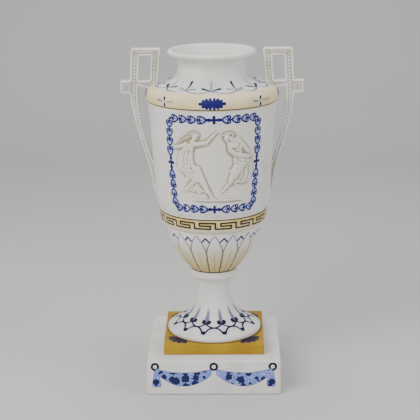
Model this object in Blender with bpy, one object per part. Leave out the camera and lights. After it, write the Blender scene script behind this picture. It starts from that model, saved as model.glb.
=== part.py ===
"""Two-handled bisque vase on its square plinth, as closed solids.

Units are millimetres in the values below and metres in the meshes, with +Z up.
The origin is the middle of the plinth's underside, X runs from handle to handle
and the decorated front faces -Y.
"""
import math

import bmesh
import bpy

MM = 0.001

# Overall sizes
TOTAL_HEIGHT = 360.0
PLINTH_SIDE = 142.0
PLINTH_HEIGHT = 38.6
SLAB_SIDE = 107.0
SLAB_HEIGHT = 11.4
JOINT_GAP = 0.3

# Heights that divide the turned body
SLAB_BASE = PLINTH_HEIGHT + JOINT_GAP
SLAB_TOP = SLAB_BASE + SLAB_HEIGHT
COLLAR_TOP = 121.0
LEAF_TOP = 171.5
BARREL_BASE = 189.8
BARREL_TOP = 305.8
NECK_BASE = 321.7
LIP_TOP = 358.6

# Turned outlines, bottom to top, as (height, radius)
FOOT_OUTLINE = [
    (SLAB_TOP - 5.0, 49.0), (SLAB_TOP, 49.6), (52.6, 50.7), (55.2, 50.2), (56.8, 47.8),
    (61.4, 40.4), (67.2, 31.3), (73.4, 24.8), (80.6, 20.6), (89.0, 18.0), (97.4, 17.4),
    (105.0, 18.8), (109.6, 21.1), (112.6, 24.2),
]
COLLAR_OUTLINE = [(113.6, 25.2), (117.6, 25.4), (119.6, 25.0), (COLLAR_TOP, 24.4)]
LEAF_OUTLINE = [
    (122.2, 25.2), (126.4, 28.8), (132.6, 33.6), (140.4, 38.8), (148.8, 43.5),
    (156.4, 47.0), (163.0, 49.4), (167.6, 50.8), (LEAF_TOP, 51.9),
]
KEY_BAND_OUTLINE = [(172.6, 52.3), (174.4, 54.6), (177.0, 55.7), (182.5, 56.9), (187.6, 57.6)]
BARREL_OUTLINE = [
    (BARREL_BASE, 56.5), (193.0, 58.2), (197.0, 59.6), (201.5, 60.6), (207.0, 61.3),
    (216.0, 61.9), (228.0, 62.5), (240.0, 63.2), (252.0, 64.1), (264.0, 65.0),
    (276.0, 65.8), (288.0, 66.5), (298.0, 67.3), (BARREL_TOP - 0.4, 67.9),
]
SHOULDER_OUTLINE = [
    (BARREL_TOP + 0.6, 68.9), (310.5, 70.2), (315.0, 69.6), (318.6, 67.4), (320.8, 64.2),
    (NECK_BASE, 60.6),
]
NECK_OUTLINE = [
    (322.6, 55.0), (324.2, 48.9), (326.8, 43.2), (330.6, 39.1), (335.2, 36.3),
    (340.6, 35.2), (345.6, 36.2), (349.6, 38.8), (352.8, 44.0),
]
LIP_OUTLINE = [(355.0, 46.5), (357.0, 46.2), (358.2, 44.9), (LIP_TOP, 43.2), (357.9, 41.4)]
CAVITY_OUTLINE = [
    (354.2, 39.2), (348.0, 33.2), (340.4, 30.7), (332.6, 32.9), (324.6, 39.6),
    (318.6, 51.4), (315.2, 60.4), (310.0, 64.2), (276.0, 61.2), (240.0, 58.6), (207.0, 56.6),
    (190.0, 52.6), (172.0, 46.9), (156.0, 41.4), (142.0, 33.9), (131.6, 23.0),
]
CAVITY_FLOOR = 126.6

# Columns of facets round the axis
STEM_COLUMNS = 40
ROUND_COLUMNS = 48
LEAF_COLUMNS = 96
CAVITY_COLUMNS = 24

# Lobed leaves round the bowl
LEAF_COUNT = 16
LEAF_RELIEF = 1.1
LEAF_SHOULDER = 152.0
LEAF_TAPER = 0.75
LEAF_BASE_FADE = 6.0
LEAF_TIP_FADE = 4.0

# The two dancers in low relief, drawn on the barrel as (across, height) points,
# where across is the angle from the front times this radius
PANEL_RADIUS = 62.5
PANEL_LEFT = -5
PANEL_RIGHT = 6
PANEL_BOTTOM = 207.0
PANEL_TOP = 288.0
PANEL_ROWS = 27
PANEL_SPLIT = 3
FIGURE_RELIEF = 2.3
RELIEF_PER_WIDTH = 0.62

# Square key handles, right side, as (x, z)
HANDLE_DEPTH = 8.6
HANDLE_CHAMFER = 0.8
HANDLE_TOP = TOTAL_HEIGHT
CROSSBAR_TOP = 326.1
CORNER_STEPS = 3
FRAME_CORNER = 2.6
LOOP_CORNER = 1.2
FRAME_OUTER_TOP = 84.4
FRAME_OUTER_FOOT = 86.0
FRAME_INNER_TOP = 53.3
FRAME_INNER_FOOT = 56.4
LOOP_OUTER = 96.1
LOOP_BOTTOM = 312.4
ARM_OUTER = [(85.8, 307.0), (84.4, 298.2), (81.0, 281.0), (76.4, 263.7), (71.2, 246.5)]
ARM_STRIP = [(66.9, 231.0), (65.0, 220.0), (63.6, 209.0), (62.0, 206.5)]
ARM_ROOT = [(57.8, 206.5), (57.8, 214.0), (59.0, 232.0)]
ARM_INNER = [(64.6, 243.0), (70.8, 263.7), (75.0, 281.0), (77.4, 298.2), (77.8, 310.0)]
CROSSBAR_UNDER = [(77.3, 320.4), (67.0, 317.8), (62.0, 317.0), (57.0, 319.0)]
WINDOW = [(63.2, 352.3), (75.6, 352.3), (77.2, CROSSBAR_TOP), (65.0, CROSSBAR_TOP)]
WINDOW_CORNER = 1.6
LOOP_HOLE = [(86.6, 321.9), (91.5, 321.9), (91.5, 315.2), (86.6, 315.2)]
LOOP_HOLE_CORNER = 0.6

# Plinth
PLINTH_WALL = 6.5
HOLLOW_OVERSHOOT = 5.0
PLINTH_EDGE = 2.4
SLAB_EDGE = 1.0


def clear_scene():
    """Remove every object, so that the script starts from nothing."""
    for old in list(bpy.data.objects):
        bpy.data.objects.remove(old, do_unlink=True)


def make_material(name, colour, roughness):
    """Return a Principled material with one colour."""
    material = bpy.data.materials.new(name)
    material.use_nodes = True
    shader = material.node_tree.nodes["Principled BSDF"]
    shader.inputs["Base Color"].default_value = (*colour, 1.0)
    shader.inputs["Roughness"].default_value = roughness
    shader.inputs["Metallic"].default_value = 0.0
    return material


def object_from_bmesh(name, mesh_data, material):
    """Turn a bmesh into an object with recalculated outward faces."""
    bmesh.ops.recalc_face_normals(mesh_data, faces=mesh_data.faces)
    mesh = bpy.data.meshes.new(name)
    mesh_data.to_mesh(mesh)
    mesh_data.free()
    mesh.materials.append(material)
    result = bpy.data.objects.new(name, mesh)
    bpy.context.scene.collection.objects.link(result)
    return result


def hide_as_guide(guide):
    """Mark an object that only adds to or cuts another one."""
    guide.hide_render = True
    guide.display_type = "WIRE"


def boolean(target, guide, operation):
    """Join or cut the target with a guide object."""
    modifier = target.modifiers.new(guide.name, "BOOLEAN")
    modifier.operation = operation
    modifier.solver = "EXACT"
    modifier.object = guide
    hide_as_guide(guide)


def smooth_between(low, high, value):
    """Return 0 below low, 1 above high and a smooth step between."""
    share = min(max((value - low) / (high - low), 0.0), 1.0)
    return share * share * (3.0 - 2.0 * share)


def radius_along(outline, height):
    """Read the radius of a turned outline at a height."""
    for (low_z, low_r), (high_z, high_r) in zip(outline, outline[1:]):
        if height <= high_z:
            share = (height - low_z) / (high_z - low_z)
            return low_r + (high_r - low_r) * max(share, 0.0)
    return outline[-1][1]


def leaf_relief(angle, height):
    """Raise broad lobed leaves that stand side by side round the bowl."""
    pitch = 2.0 * math.pi / LEAF_COUNT
    offset = abs((angle / pitch + 0.5) % 1.0 - 0.5) * 2.0
    half_width = 1.0 - LEAF_TAPER * smooth_between(LEAF_SHOULDER, LEAF_TOP, height)
    fade = smooth_between(COLLAR_TOP, COLLAR_TOP + LEAF_BASE_FADE, height)
    fade *= 1.0 - smooth_between(LEAF_TOP - LEAF_TIP_FADE, LEAF_TOP, height)
    return LEAF_RELIEF * fade * max(1.0 - (offset / half_width) ** 2, 0.0)


def dancer_limbs():
    """Return both dancers as tapered limbs: two points with a half width at each."""
    striding = {
        "head": ((-16.0, 281.0), 5.0, (-14.8, 278.0), 3.9),
        "hair": ((-18.5, 281.0), 3.2, (-31.0, 275.0), 1.8),
        "neck": ((-16.6, 277.0), 2.4, (-18.8, 271.0), 3.4),
        "chest": ((-20.6, 270.0), 6.4, (-21.4, 258.0), 5.0),
        "hips": ((-21.4, 256.0), 5.4, (-20.6, 246.0), 7.2),
        "front thigh": ((-19.0, 247.0), 6.6, (-13.0, 233.0), 4.6),
        "front shin": ((-13.0, 233.0), 4.4, (-5.2, 215.5), 2.2),
        "front foot": ((-5.2, 215.5), 2.2, (1.0, 211.0), 1.6),
        "back thigh": ((-20.5, 246.0), 6.0, (-17.5, 231.5), 4.4),
        "back shin": ((-17.5, 231.5), 3.8, (-29.0, 224.0), 2.2),
        "back foot": ((-29.0, 224.0), 2.2, (-34.0, 228.5), 1.5),
        "raised arm": ((-16.5, 271.0), 3.0, (-7.6, 274.0), 2.4),
        "raised forearm": ((-7.6, 274.0), 2.4, (1.6, 282.6), 1.7),
        "level arm": ((-17.0, 269.0), 2.8, (-3.5, 270.0), 1.8),
        "back arm": ((-23.5, 269.5), 3.0, (-37.0, 265.5), 1.8),
        "scarf": ((-33.5, 266.0), 2.6, (-33.0, 244.0), 2.6),
        "skirt back": ((-24.5, 248.0), 5.0, (-25.0, 222.0), 4.0),
        "skirt front": ((-16.0, 240.0), 5.0, (-9.5, 221.0), 4.2),
    }
    bending = {
        "head": ((19.2, 282.2), 4.9, (17.0, 279.4), 3.8),
        "neck": ((19.2, 277.6), 2.4, (20.8, 272.6), 3.2),
        "chest": ((22.6, 271.4), 6.2, (21.8, 259.0), 5.0),
        "hips": ((22.4, 257.0), 5.4, (26.4, 247.4), 7.4),
        "front thigh": ((25.0, 249.0), 6.4, (20.0, 238.0), 4.8),
        "front shin": ((20.0, 238.0), 4.4, (15.8, 226.6), 2.4),
        "front foot": ((15.8, 226.6), 2.2, (9.0, 218.6), 1.5),
        "back thigh": ((27.6, 246.6), 6.0, (30.4, 235.0), 4.6),
        "back shin": ((30.4, 235.0), 4.0, (37.6, 229.0), 2.2),
        "head arm": ((25.0, 272.6), 2.8, (28.6, 281.0), 2.4),
        "head forearm": ((28.6, 281.0), 2.2, (21.4, 284.8), 1.7),
        "across arm": ((20.6, 262.6), 2.4, (40.6, 255.4), 2.2),
        "veil": ((27.4, 274.4), 2.8, (43.6, 257.4), 2.2),
        "skirt front": ((21.6, 246.0), 5.4, (15.6, 224.0), 4.4),
        "skirt back": ((29.0, 244.0), 5.4, (34.6, 226.0), 4.0),
        "skirt swirl": ((33.0, 240.6), 4.4, (42.6, 235.6), 2.8),
    }
    return list(striding.values()) + list(bending.values())


def figure_relief(across, height, limbs):
    """Return how far the dancers stand out of the barrel at one point."""
    raised = 0.0
    for (ax, az), a_width, (bx, bz), b_width in limbs:
        run_x = bx - ax
        run_z = bz - az
        share = ((across - ax) * run_x + (height - az) * run_z) / (run_x ** 2 + run_z ** 2)
        share = min(max(share, 0.0), 1.0)
        width = a_width + (b_width - a_width) * share
        distance = math.hypot(across - ax - run_x * share, height - az - run_z * share)
        if distance < width:
            bulge = 1.0 - (distance / width) ** 2
            raised = max(raised, bulge * min(FIGURE_RELIEF, width * RELIEF_PER_WIDTH))
    return raised


def ring_angles(count):
    """Return evenly spread angles, with the front at zero."""
    return [2.0 * math.pi * step / count for step in range(count)]


def add_ring(mesh_data, angles, height, radius, relief=None):
    """Add one ring of vertices and return it as (angle, vertex) pairs."""
    ring = []
    for angle in angles:
        reach = radius + (relief(angle, height) if relief else 0.0)
        place = (reach * math.sin(angle) * MM, -reach * math.cos(angle) * MM, height * MM)
        ring.append((angle, mesh_data.verts.new(place)))
    return ring


def zip_rings(mesh_data, lower, upper):
    """Join two rings whose vertices may stand at different angles."""
    low = lower + [(lower[0][0] + 2.0 * math.pi, lower[0][1])]
    high = upper + [(upper[0][0] + 2.0 * math.pi, upper[0][1])]
    i = 0
    j = 0
    while i < len(low) - 1 or j < len(high) - 1:
        next_low = low[i + 1][0] if i < len(low) - 1 else math.inf
        next_high = high[j + 1][0] if j < len(high) - 1 else math.inf
        if abs(next_low - next_high) < 1e-6:
            mesh_data.faces.new((low[i][1], low[i + 1][1], high[j + 1][1], high[j][1]))
            i += 1
            j += 1
        elif next_low < next_high:
            mesh_data.faces.new((low[i][1], low[i + 1][1], high[j][1]))
            i += 1
        else:
            mesh_data.faces.new((low[i][1], high[j + 1][1], high[j][1]))
            j += 1


def zip_all(mesh_data, rings):
    """Join each ring to the next."""
    for lower, upper in zip(rings, rings[1:]):
        zip_rings(mesh_data, lower, upper)


def barrel_rings(mesh_data):
    """Build the barrel, with a fine patch in front that carries the dancers.

    Returns the barrel's lowest and highest ring.
    """
    limbs = dancer_limbs()
    step = 2.0 * math.pi / ROUND_COLUMNS
    heights = [height for height, _ in BARREL_OUTLINE]
    coarse_angles = [step * column for column in range(PANEL_RIGHT, ROUND_COLUMNS + PANEL_LEFT + 1)]
    fine_count = (PANEL_RIGHT - PANEL_LEFT) * PANEL_SPLIT
    fine_angles = [step * (PANEL_LEFT + column / PANEL_SPLIT) for column in range(fine_count + 1)]
    rows = [PANEL_BOTTOM + (PANEL_TOP - PANEL_BOTTOM) * row / PANEL_ROWS for row in range(PANEL_ROWS + 1)]

    patch = []
    for height in rows:
        line = []
        for angle in fine_angles:
            radius = radius_along(BARREL_OUTLINE, height)
            radius += figure_relief(angle * PANEL_RADIUS, height, limbs)
            place = (radius * math.sin(angle) * MM, -radius * math.cos(angle) * MM, height * MM)
            line.append(mesh_data.verts.new(place))
        patch.append(line)
    for low_line, high_line in zip(patch, patch[1:]):
        for column in range(fine_count):
            corners = (low_line[column], low_line[column + 1], high_line[column + 1], high_line[column])
            mesh_data.faces.new(corners)

    columns = {}
    for height in heights:
        if PANEL_BOTTOM <= height <= PANEL_TOP:
            ring = add_ring(mesh_data, coarse_angles[1:-1], height, radius_along(BARREL_OUTLINE, height))
            columns[height] = [vertex for _, vertex in ring]
    inside = sorted(columns)
    for low, high in zip(inside, inside[1:]):
        for left, right in zip(range(len(coarse_angles) - 3), range(1, len(coarse_angles) - 2)):
            low_line = columns[low]
            high_line = columns[high]
            mesh_data.faces.new((low_line[left], low_line[right], high_line[right], high_line[left]))
        stretch = [row for row, height in enumerate(rows) if low - 1e-6 <= height <= high + 1e-6]
        right_edge = [patch[row][-1] for row in stretch]
        left_edge = [patch[row][0] for row in stretch]
        add_fan(mesh_data, columns[low][0], columns[high][0], right_edge)
        add_fan(mesh_data, columns[high][-1], columns[low][-1], left_edge[::-1])

    def full_ring(row, height):
        front = [(angle, vertex) for angle, vertex in zip(fine_angles, patch[row])]
        back = [(angle, vertex) for angle, vertex in zip(coarse_angles[1:-1], columns[height])]
        return front + back

    low_rings = []
    high_rings = []
    plain = [step * column for column in range(PANEL_LEFT, ROUND_COLUMNS + PANEL_LEFT)]
    for height, radius in BARREL_OUTLINE:
        if height < PANEL_BOTTOM:
            low_rings.append(add_ring(mesh_data, plain, height, radius))
        elif height > PANEL_TOP:
            high_rings.append(add_ring(mesh_data, plain, height, radius))
    zip_all(mesh_data, low_rings + [full_ring(0, PANEL_BOTTOM)])
    zip_all(mesh_data, [full_ring(PANEL_ROWS, PANEL_TOP)] + high_rings)
    return low_rings[0], high_rings[-1]


def add_fan(mesh_data, first, last, edge):
    """Fill the strip between one coarse edge and a finer line of vertices.

    The coarse edge runs from first to last, and the fine line starts beside first.
    """
    middle = len(edge) // 2
    for low, high in zip(edge[:middle], edge[1:middle + 1]):
        mesh_data.faces.new((first, high, low))
    mesh_data.faces.new((first, last, edge[middle]))
    for low, high in zip(edge[middle:-1], edge[middle + 1:]):
        mesh_data.faces.new((last, high, low))


def rotate_ring(ring, angles_start):
    """Let a ring start at the first angle that isn't below the given one."""
    turned = [(angle, vertex) for angle, vertex in ring if angle >= angles_start - 1e-6]
    wrapped = [(angle + 2.0 * math.pi, vertex) for angle, vertex in ring if angle < angles_start - 1e-6]
    return turned + wrapped


def build_body(material):
    """Model the turned and carved vessel, open at the mouth."""
    mesh_data = bmesh.new()
    stem = ring_angles(STEM_COLUMNS)
    round_angles = ring_angles(ROUND_COLUMNS)
    leaf = ring_angles(LEAF_COLUMNS)
    cavity = ring_angles(CAVITY_COLUMNS)

    foot = [add_ring(mesh_data, stem, z, r) for z, r in FOOT_OUTLINE]
    foot += [add_ring(mesh_data, round_angles, z, r) for z, r in COLLAR_OUTLINE]
    foot += [add_ring(mesh_data, leaf, z, r, leaf_relief) for z, r in LEAF_OUTLINE]
    foot += [add_ring(mesh_data, round_angles, z, r) for z, r in KEY_BAND_OUTLINE]
    zip_all(mesh_data, foot)
    mesh_data.faces.new([vertex for _, vertex in reversed(foot[0])])

    barrel_low, barrel_high = barrel_rings(mesh_data)
    start = barrel_low[0][0]
    zip_rings(mesh_data, [(a - 2.0 * math.pi, v) for a, v in rotate_ring(foot[-1], start + 2.0 * math.pi)],
              barrel_low)

    upper = []
    plain = [angle for angle, _ in barrel_high]
    for z, r in SHOULDER_OUTLINE + NECK_OUTLINE + LIP_OUTLINE:
        upper.append(add_ring(mesh_data, plain, z, r))
    zip_all(mesh_data, [barrel_high] + upper)

    inner = [add_ring(mesh_data, cavity, z, r) for z, r in CAVITY_OUTLINE]
    shifted = rotate_ring([(a % (2.0 * math.pi), v) for a, v in sorted(upper[-1], key=ring_key)], 0.0)
    zip_rings(mesh_data, shifted, inner[0])
    zip_all(mesh_data, inner)
    floor = mesh_data.verts.new((0.0, 0.0, CAVITY_FLOOR * MM))
    last = [vertex for _, vertex in inner[-1]]
    for one, two in zip(last, last[1:] + last[:1]):
        mesh_data.faces.new((one, two, floor))
    return object_from_bmesh("vase", mesh_data, material)


def ring_key(pair):
    """Sort a ring's vertices by their angle in one turn."""
    return round(pair[0] % (2.0 * math.pi), 6)


def rounded_outline(points, radius, steps):
    """Replace each corner of a closed outline with a short arc."""
    result = []
    count = len(points)
    for index, (x, z) in enumerate(points):
        before = points[index - 1]
        after = points[(index + 1) % count]
        corner = radius[index] if isinstance(radius, list) else radius
        if corner <= 0.0:
            result.append((x, z))
            continue
        ahead = math.atan2(after[1] - z, after[0] - x)
        behind = math.atan2(before[1] - z, before[0] - x)
        half = abs((ahead - behind + math.pi) % (2.0 * math.pi) - math.pi) / 2.0
        setback = corner / math.tan(half)
        start = (x + setback * math.cos(behind), z + setback * math.sin(behind))
        end = (x + setback * math.cos(ahead), z + setback * math.sin(ahead))
        for step in range(steps + 1):
            share = step / steps
            one = 1.0 - share
            px = one * one * start[0] + 2.0 * one * share * x + share * share * end[0]
            pz = one * one * start[1] + 2.0 * one * share * z + share * share * end[1]
            result.append((px, pz))
    return result


def inset_outline(points, distance):
    """Move each side of a closed outline inwards, for a right-handed outline."""
    area = sum(a[0] * b[1] - b[0] * a[1] for a, b in zip(points, points[1:] + points[:1]))
    side = 1.0 if area > 0.0 else -1.0
    result = []
    count = len(points)
    for index, (x, z) in enumerate(points):
        bx, bz = points[index - 1]
        ax, az = points[(index + 1) % count]
        first = (x - bx, z - bz)
        second = (ax - x, az - z)
        first_length = math.hypot(*first)
        second_length = math.hypot(*second)
        normal_one = (-first[1] / first_length * side, first[0] / first_length * side)
        normal_two = (-second[1] / second_length * side, second[0] / second_length * side)
        bisector = (normal_one[0] + normal_two[0], normal_one[1] + normal_two[1])
        size = bisector[0] ** 2 + bisector[1] ** 2
        scale = 2.0 * distance / size
        result.append((x + bisector[0] * scale, z + bisector[1] * scale))
    return result


def handle_outlines():
    """Return the right handle's outer outline and its two holes."""
    corners = [(FRAME_INNER_TOP, HANDLE_TOP), (FRAME_OUTER_TOP, HANDLE_TOP), (FRAME_OUTER_FOOT, CROSSBAR_TOP)]
    corners += [(LOOP_OUTER, CROSSBAR_TOP), (LOOP_OUTER, LOOP_BOTTOM), (FRAME_OUTER_FOOT, LOOP_BOTTOM)]
    radii = [FRAME_CORNER, FRAME_CORNER, 0.0, LOOP_CORNER, LOOP_CORNER, 0.0]
    plain = ARM_OUTER + ARM_STRIP + ARM_ROOT + ARM_INNER + CROSSBAR_UNDER
    outer = rounded_outline(corners + plain, radii + [0.0] * len(plain), CORNER_STEPS)
    window = rounded_outline(WINDOW, WINDOW_CORNER, CORNER_STEPS - 1)
    hole = rounded_outline(LOOP_HOLE, LOOP_HOLE_CORNER, 1)
    return outer, window, hole


def build_handle(name, side, material):
    """Cut one key handle from its outline, with chamfered front and back edges."""
    mesh_data = bmesh.new()
    outlines = handle_outlines()
    half = HANDLE_DEPTH / 2.0
    layers = [(-half, HANDLE_CHAMFER), (HANDLE_CHAMFER - half, 0.0), (half - HANDLE_CHAMFER, 0.0), (half, HANDLE_CHAMFER)]
    caps = {-half: [], half: []}
    for number, outline in enumerate(outlines):
        rings = []
        for depth, inset in layers:
            # A hole grows where the outer outline shrinks
            points = inset_outline(outline, inset if number == 0 else -inset)
            rings.append([mesh_data.verts.new((side * x * MM, depth * MM, z * MM)) for x, z in points])
        for front, back in zip(rings, rings[1:]):
            for index in range(len(front)):
                following = (index + 1) % len(front)
                mesh_data.faces.new((front[index], front[following], back[following], back[index]))
        caps[-half].append(rings[0])
        caps[half].append(rings[-1])
    for loops in caps.values():
        edges = []
        for loop in loops:
            for one, two in zip(loop, loop[1:] + loop[:1]):
                edges.append(mesh_data.edges.get((one, two)) or mesh_data.edges.new((one, two)))
        bmesh.ops.triangle_fill(mesh_data, use_beauty=True, edges=edges)
    return object_from_bmesh(name, mesh_data, material)


def build_block(name, side, height, base, edge, material):
    """Model a square block with softened edges, standing at a given height."""
    mesh_data = bmesh.new()
    bmesh.ops.create_cube(mesh_data, size=1.0)
    for vertex in mesh_data.verts:
        vertex.co.x *= side * MM
        vertex.co.y *= side * MM
        vertex.co.z = (vertex.co.z + 0.5) * height * MM + base * MM
    if edge > 0.0:
        bmesh.ops.bevel(mesh_data, geom=list(mesh_data.edges), offset=edge * MM, segments=2,
                        profile=0.5, affect="EDGES")
    return object_from_bmesh(name, mesh_data, material)


def build_vase(bisque, ochre):
    """Model the vase in one piece with its handles and the square slab under it."""
    vase = build_body(bisque)
    slab = build_block("slab_guide", SLAB_SIDE, SLAB_HEIGHT, SLAB_BASE, SLAB_EDGE, ochre)
    boolean(vase, slab, "UNION")
    for name, side in (("left_handle_guide", -1.0), ("right_handle_guide", 1.0)):
        boolean(vase, build_handle(name, side, bisque), "UNION")
    return vase


def build_plinth(bisque):
    """Model the square plinth, hollow underneath."""
    plinth = build_block("plinth", PLINTH_SIDE, PLINTH_HEIGHT, 0.0, PLINTH_EDGE, bisque)
    inner = PLINTH_SIDE - 2.0 * PLINTH_WALL
    depth = PLINTH_HEIGHT - PLINTH_WALL + HOLLOW_OVERSHOOT
    hollow = build_block("plinth_hollow_guide", inner, depth, -HOLLOW_OVERSHOOT, 0.0, bisque)
    boolean(plinth, hollow, "DIFFERENCE")
    return plinth


def main():
    """Build the two pieces."""
    clear_scene()
    bisque = make_material("bisque", (0.86, 0.84, 0.80), 0.62)
    ochre = make_material("ochre_slip", (0.80, 0.72, 0.45), 0.6)
    build_vase(bisque, ochre)
    build_plinth(make_material("plinth_bisque", (0.87, 0.86, 0.84), 0.6))


main()
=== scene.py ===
"""Looks of a two-handled bisque vase on its square plinth.

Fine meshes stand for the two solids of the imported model, and every surface gets a
painted finish whose motifs are drawn by the material's own nodes. Lengths in the
classes are millimetres unless a name says otherwise, angles are radians, heights
are measured from the surface that the plinth stands on, and the front faces -Y.
"""
from __future__ import annotations

import logging
import math
from dataclasses import dataclass, field
from enum import Enum
from functools import partial, reduce
from typing import Sequence

import bmesh
import bpy
import numpy as np
from mathutils import Matrix, Vector

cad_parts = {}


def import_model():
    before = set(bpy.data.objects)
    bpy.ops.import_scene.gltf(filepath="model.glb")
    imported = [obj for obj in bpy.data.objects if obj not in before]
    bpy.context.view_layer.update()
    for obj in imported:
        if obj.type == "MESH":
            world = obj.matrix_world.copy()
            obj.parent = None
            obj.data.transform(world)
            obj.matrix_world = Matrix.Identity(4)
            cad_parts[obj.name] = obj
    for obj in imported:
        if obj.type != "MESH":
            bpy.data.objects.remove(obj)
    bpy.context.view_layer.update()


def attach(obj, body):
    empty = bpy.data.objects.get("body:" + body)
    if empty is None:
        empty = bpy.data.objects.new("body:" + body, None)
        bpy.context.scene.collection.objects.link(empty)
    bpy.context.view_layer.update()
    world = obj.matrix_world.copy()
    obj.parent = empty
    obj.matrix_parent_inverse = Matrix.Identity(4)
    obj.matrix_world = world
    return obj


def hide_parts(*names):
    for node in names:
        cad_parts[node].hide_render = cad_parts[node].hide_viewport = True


LOG = logging.getLogger("vase")
MM = 0.001
TAU = 2.0 * math.pi
# A slope's height and depth as they show from 15.3 degrees above
SHOWN_HEIGHT = 0.965
SHOWN_DEPTH = 0.264

Point = tuple[float, float]
Colour = tuple[float, float, float]
Ring = tuple[np.ndarray, int]
Pair = tuple[np.ndarray, np.ndarray]


class Slot(Enum):
    """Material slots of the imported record."""

    VASE = "vase_bisque"
    PLINTH = "plinth_bisque"


class Course(Enum):
    """Stretches of the turned body, each with a finish of its own."""

    FOOT = 0
    BOWL = 1
    KEY_BAND = 2
    BARREL = 3
    SHOULDER = 4
    NECK = 5
    CAVITY = 6


@dataclass(frozen=True)
class Pigment:
    """Colours of the clay, slips, painted lines, painted light and shade, and floor, as linear RGB."""

    bisque: Colour = (0.79, 0.775, 0.735)
    # Bisque painted lighter: painted light thrown up onto the downward-facing bowl
    bounce_lit_bisque: Colour = (0.85, 0.83, 0.78)
    bisque_shade: Colour = (0.71, 0.685, 0.63)
    warm_ground: Colour = (0.77, 0.73, 0.645)
    cream: Colour = (0.82, 0.68, 0.375)
    cream_deep: Colour = (0.74, 0.60, 0.30)
    key_yellow: Colour = (0.66, 0.51, 0.17)
    ochre: Colour = (0.45, 0.31, 0.09)
    ochre_pale: Colour = (0.72, 0.56, 0.21)
    # Brown of the painted shade in hollows and channels, also laid in the bowl's hatching
    recess: Colour = (0.30, 0.265, 0.165)
    slab: Colour = (0.365, 0.205, 0.006)
    slab_light: Colour = (0.44, 0.27, 0.012)
    brown: Colour = (0.030, 0.019, 0.006)
    olive: Colour = (0.12, 0.09, 0.03)
    navy: Colour = (0.002, 0.003, 0.065)
    cobalt: Colour = (0.003, 0.003, 0.13)
    violet: Colour = (0.07, 0.045, 0.30)
    plum: Colour = (0.008, 0.002, 0.026)
    ink: Colour = (0.002, 0.002, 0.016)
    sky: Colour = (0.12, 0.21, 0.66)
    lilac_grey: Colour = (0.15, 0.14, 0.28)
    halo: Colour = (0.66, 0.66, 0.88)
    grey: Colour = (0.30, 0.31, 0.35)
    grey_green: Colour = (0.27, 0.29, 0.24)
    rust: Colour = (0.42, 0.17, 0.06)
    floor: Colour = (0.60, 0.59, 0.57)
    floor_shade: Colour = (0.56, 0.55, 0.535)


PIGMENT = Pigment()


@dataclass(frozen=True)
class Clay:
    """Unglazed surface under the paint.

    Attributes:
        colour: main colour of the surface.
        shade: colour of its cloudy patches.
        cloud: size of the patches.
        grain: size of the grain that roughens it.
        roughness: mean roughness of the bisque.
        relief: height of the grain.
    """

    colour: Colour = PIGMENT.bisque
    shade: Colour = PIGMENT.bisque_shade
    cloud: float = 26.0
    grain: float = 0.9
    roughness: float = 0.56
    relief: float = 0.05


class Field:
    """A number or vector that a material's nodes work out at each point."""

    def __init__(self, canvas: Canvas, socket: bpy.types.NodeSocket) -> None:
        """Keep the canvas that owns the socket, and the socket itself."""
        self.canvas = canvas
        self.socket = socket

    def __add__(self, other: Amount) -> Field:
        """Return the sum."""
        return self.canvas.math("ADD", self, other)

    def __radd__(self, other: float) -> Field:
        """Return the sum with a plain number on the left."""
        return self.canvas.math("ADD", other, self)

    def __sub__(self, other: Amount) -> Field:
        """Return the difference."""
        return self.canvas.math("SUBTRACT", self, other)

    def __rsub__(self, other: float) -> Field:
        """Return the difference with a plain number on the left."""
        return self.canvas.math("SUBTRACT", other, self)

    def __mul__(self, other: Amount) -> Field:
        """Return the product."""
        return self.canvas.math("MULTIPLY", self, other)

    def __rmul__(self, other: float) -> Field:
        """Return the product with a plain number on the left."""
        return self.canvas.math("MULTIPLY", other, self)

    def __truediv__(self, other: Amount) -> Field:
        """Return the quotient."""
        return self.canvas.math("DIVIDE", self, other)

    def __abs__(self) -> Field:
        """Return the absolute value."""
        return self.canvas.math("ABSOLUTE", self)


Amount = Field | float


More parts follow.
